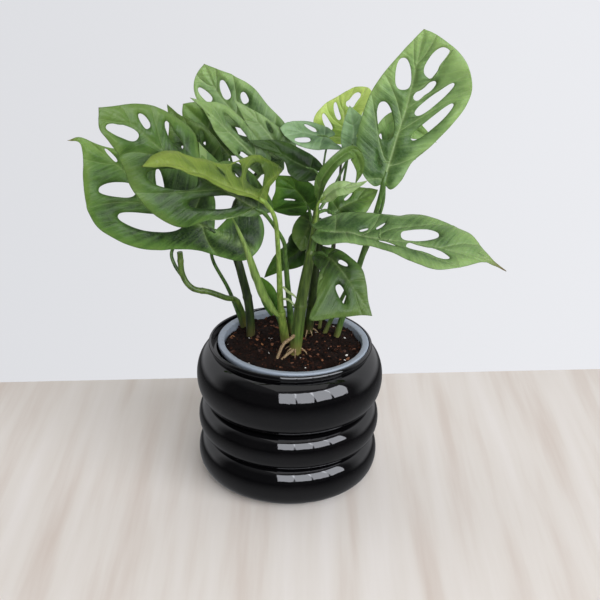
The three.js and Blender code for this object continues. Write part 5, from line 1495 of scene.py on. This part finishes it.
def leaf_finish(name, dark, light, vein, under, rim, ior=1.36):
    # Living leaf: a waxy upper skin over green flesh. The wax gives a broad soft sheen.
    material, tree, shader = new_material(name)
    labels = ("stalk_shade", "rim", "halo", "vein", "under", "edge", "dry", "tone_and_shade")
    marks = [add_node(tree, "ShaderNodeAttribute", attribute_name=label).outputs["Fac"] for label in labels]
    stalk_shade, lit_rim, halo, on_vein, below, edge, dry, tone_and_shade = marks
    drawing = add_node(tree, "ShaderNodeUVMap", uv_map="drawing")
    inputs = {"Vector": drawing, "Scale": DRAWING_UNIT / VEINLET_CELL}
    net = add_node(tree, "ShaderNodeTexVoronoi", inputs, feature="DISTANCE_TO_EDGE")
    line = add_node(tree, "ShaderNodeValToRGB", [net], [(0.0, "#ffffff"), (0.14, "#000000")])
    flow = add_node(tree, "ShaderNodeUVMap", uv_map="across_veins")
    streak = add_node(tree, "ShaderNodeTexNoise", {"Vector": flow, "Scale": STREAKS, "Detail": 4.0})
    # Streaks over soft clouds. Painted shade darkens the green towards the stalk, the streaks paint the
    # shade of the folds along the side veins, and painted light makes it paler towards the rim.
    green = 0.06
    for part, share in ((object_noise(tree, 22, 2), 0.7), (streak, 0.5), (stalk_shade, -0.55), (lit_rim, 0.34)):
        green = add_node(tree, "ShaderNodeMath", [part, share, green], operation="MULTIPLY_ADD")
    skin = add_node(tree, "ShaderNodeValToRGB", [green], [(0.2, dark), (0.5, light), (0.8, rim)])
    # The underside is plain but for its veins, so it is mixed first and laid over as one colour.
    share = add_node(tree, "ShaderNodeMath", [on_vein, 0.7], operation="MULTIPLY")
    back = add_node(tree, "ShaderNodeMix", {0: share, 6: srgb(under), 7: srgb(vein)}, data_type="RGBA")
    layers = [
        (halo, 0.35, srgb(rim)), (line, 0.12, srgb(rim)), (on_vein, 0.6, srgb(vein)), (below, 1, back),
        (edge, 0.2, srgb(dark)), (dry, 1, srgb(DRY_BROWN)),
    ]
    for where, strength, colour in layers:
        share = add_node(tree, "ShaderNodeMath", [where, strength], operation="MULTIPLY")
        skin = add_node(tree, "ShaderNodeMix", {0: share, 6: skin, 7: colour}, data_type="RGBA")
    # The tone scales the whole colour, with painted light and shade for where the leaf sits.
    toned = add_node(tree, "ShaderNodeVectorMath", {0: skin, "Scale": tone_and_shade}, operation="SCALE")
    bump = add_node(tree, "ShaderNodeBump", {"Height": net, "Distance": 0.12 * MM})
    for height, depth in ((streak, 0.9), (object_noise(tree, 4, 2), 0.25)):
        inputs = {"Height": height, "Distance": depth * MM, "Normal": bump}
        bump = add_node(tree, "ShaderNodeBump", inputs)
    feed(tree, shader, {"Base Color": toned, "Normal": bump, "Roughness": 0.42, "IOR": ior})
    flesh = {"Weight": 0.12, "Radius": (0.55, 1.0, 0.18), "Scale": 1.2 * MM}
    feed(tree, shader, {"Subsurface " + part: value for part, value in flesh.items()})
    return material


FINISHES = {
    "full": leaf_finish("mature_leaf", "#1a2f0f", "#49692b", "#768b51", "#7a9354", "#627e39"),
    # A darker copy of the mature green for the leaves deep in the plant: painted shade.
    "painted_shade": leaf_finish("shaded_leaf", "#0e1f07", "#2c4918", "#55732f", "#64824a", "#405f1f", 1.26),
    "fresh": leaf_finish("fresh_leaf", "#304c20", "#637f48", "#98aa77", "#88a566", "#7f9a5a"),
    "grey": leaf_finish("grey_green_leaf", "#3c5936", "#617d52", "#8ea47e", "#839e74", "#7d996c"),
    "new": leaf_finish("unfolding_leaf", "#425918", "#647a28", "#8a9a4c", "#6c8238", "#788a34"),
    "lime": leaf_finish("yellow_green_leaf", "#6c8c34", "#98b44c", "#c0d08c", "#8aa450", "#b8cc6c"),
    "pale": leaf_finish("half_open_leaf", "#4f6e30", "#789354", "#9eae7f", "#7c9a5a", "#90a86e"),
}
print("leaf finishes:", ", ".join(FINISHES))

# %% Make the leaves
# For each leaf: its blade's finish, how light its green is, as its own tone and as painted light and
# shade for where it sits, and its stalk's finish.
LEAF_LOOKS = {
    "leaf_top_right": ("fresh", 1.08, STALK_GREEN), "leaf_right": ("fresh", 0.93, STALK_GREEN),
    "leaf_far_left": ("full", 1.25, STALK_SHADED), "leaf_left": ("full", 0.77, STALK_GREEN),
    "leaf_low_right": ("full", 0.62, STALK_GREEN), "leaf_left_small": ("full", 0.8, STALK_GREEN),
    "leaf_young": ("new", 0.83, STALK_LIGHT), "leaf_folded": ("full", 0.78, STALK_GREEN),
    "leaf_pale": ("pale", 1, STALK_LIGHT), "leaf_short_right": ("full", 1, STALK_GREEN),
    "leaf_middle": ("painted_shade", 1.35, STALK_GREEN), "leaf_behind_stem": ("full", 0.8, STALK_SHADED),
    "leaf_grey_back": ("grey", 1, STALK_GREEN), "leaf_yellow_back": ("lime", 1, STALK_GREEN),
    "leaf_right_back": ("grey", 1.3, STALK_GREEN), "leaf_top_left": ("fresh", 0.98, STALK_GREEN),
    "leaf_upper_left": ("fresh", 0.82, STALK_GREEN), "leaf_upper_middle": ("fresh", 0.8, STALK_GREEN),
    "leaf_back_left": ("full", 1.05, STALK_GREEN), "leaf_dark_middle": ("painted_shade", 0.5, STALK_GREEN),
    "leaf_low_left": ("painted_shade", 1, STALK_SHADED), "leaf_low_back": ("painted_shade", 0.95, STALK_SHADED),
    "leaf_low_small": ("painted_shade", 1.9, STALK_GREEN), "leaf_curled_right": ("fresh", 1.45, STALK_GREEN),
}
STALK_SINK, STALK_REACH, STALK_TIP = 0.7, 9, 0.75
STALK_SWELL, STALK_SWELL_RUN = 0.22, 4


def leaf_stalk(name, leaf, rib, finish):
    """The stalk, which runs in under the rib and swells a little where it meets the blade."""
    under = Vector(leaf["face"][0]).normalized() * STALK_SINK
    ends = bend(leaf, rib, np.array([[0.0, 0.0], [STALK_REACH, 0.0]])) - np.array(under)
    path = leaf["stalk"]["path"] + ends.tolist()
    length = Curve(path).length
    bulbs = [(1 - STALK_REACH / length, STALK_SWELL, STALK_SWELL_RUN / length)]
    radii = leaf["stalk"]["radii"] + [leaf["stalk"]["radii"][-1] * STALK_TIP]
    low = path[0][2] < SOIL_TOP
    return stem_object(name, path, radii, finish, foot=float(low), bulbs=bulbs, sides=14, ridge=0.15)


for seed, (name, (look, tone_and_shade, stalk)) in enumerate(LEAF_LOOKS.items()):
    blade, flat = blade_object(name, LEAVES[name], FINISHES[look], tone_and_shade, seed)
    piece = join("foliage_" + name, [blade, leaf_stalk("stalk", LEAVES[name], flat.rib, stalk)])
    wear(piece, name)

# %% [markdown]
# ## The rolled leaf
# The newest leaf is still rolled into a spindle beside the young stem. Its margin shows as a seam that
# winds once round it, so the section is a spiral: the radius grows a little all the way round, and steps
# back at the seam.

# %% The rolled leaf
ROLL_SIDES, ROLL_STEP, ROLL_LAP, ROLL_TWIST = 40, 0.8, 0.28, 1.1
SEAM_WIDTH = 0.06


def rolled_leaf(path, radii):
    curve = Curve(path)
    rows = int(curve.length / ROLL_STEP)
    shares = np.linspace(0, 1, rows)
    spots, ahead = curve.even(shares)
    radius = np.interp(shares, np.linspace(0, 1, len(radii)), radii)
    side = np.cross(ahead, (0, -1, 0))
    side /= np.linalg.norm(side, axis=1)[:, None]
    front = np.cross(ahead, side)
    places, seam = [], []
    for row in range(rows):
        for step in range(ROLL_SIDES):
            share = step / (ROLL_SIDES - 1)
            angle = 2 * math.pi * (min(share * ROLL_SIDES / (ROLL_SIDES - 1), 1) + ROLL_TWIST * shares[row])
            size = radius[row] * (1 - ROLL_LAP / 2 + ROLL_LAP * share)
            places.append(spots[row] + size * (math.cos(angle) * side[row] + math.sin(angle) * front[row]))
            seam.append(math.exp(-(((1 - share) / SEAM_WIDTH) ** 2)))
    faces = [face[::-1] for face in ring_faces(rows, ROLL_SIDES)]
    faces.append(tuple(range(ROLL_SIDES)))
    faces.append(tuple(reversed(range(len(places) - ROLL_SIDES, len(places)))))
    mesh = bpy.data.meshes.new("rolled")
    mesh.from_pydata((np.array(places) * MM).tolist(), [], faces)
    mesh.shade_smooth()
    mesh.set_sharp_from_angle(angle=TURNED_EDGE)
    mark(mesh, "ring", seam)
    mesh.materials.append(green_stem("rolled_leaf_skin", "#778f46", "#50682c", "#9cab70"))
    return add_object("foliage_leaf_rolled", mesh)


rolled = rolled_leaf(**ROLLED_LEAF)
wear(rolled, "leaf_rolled")
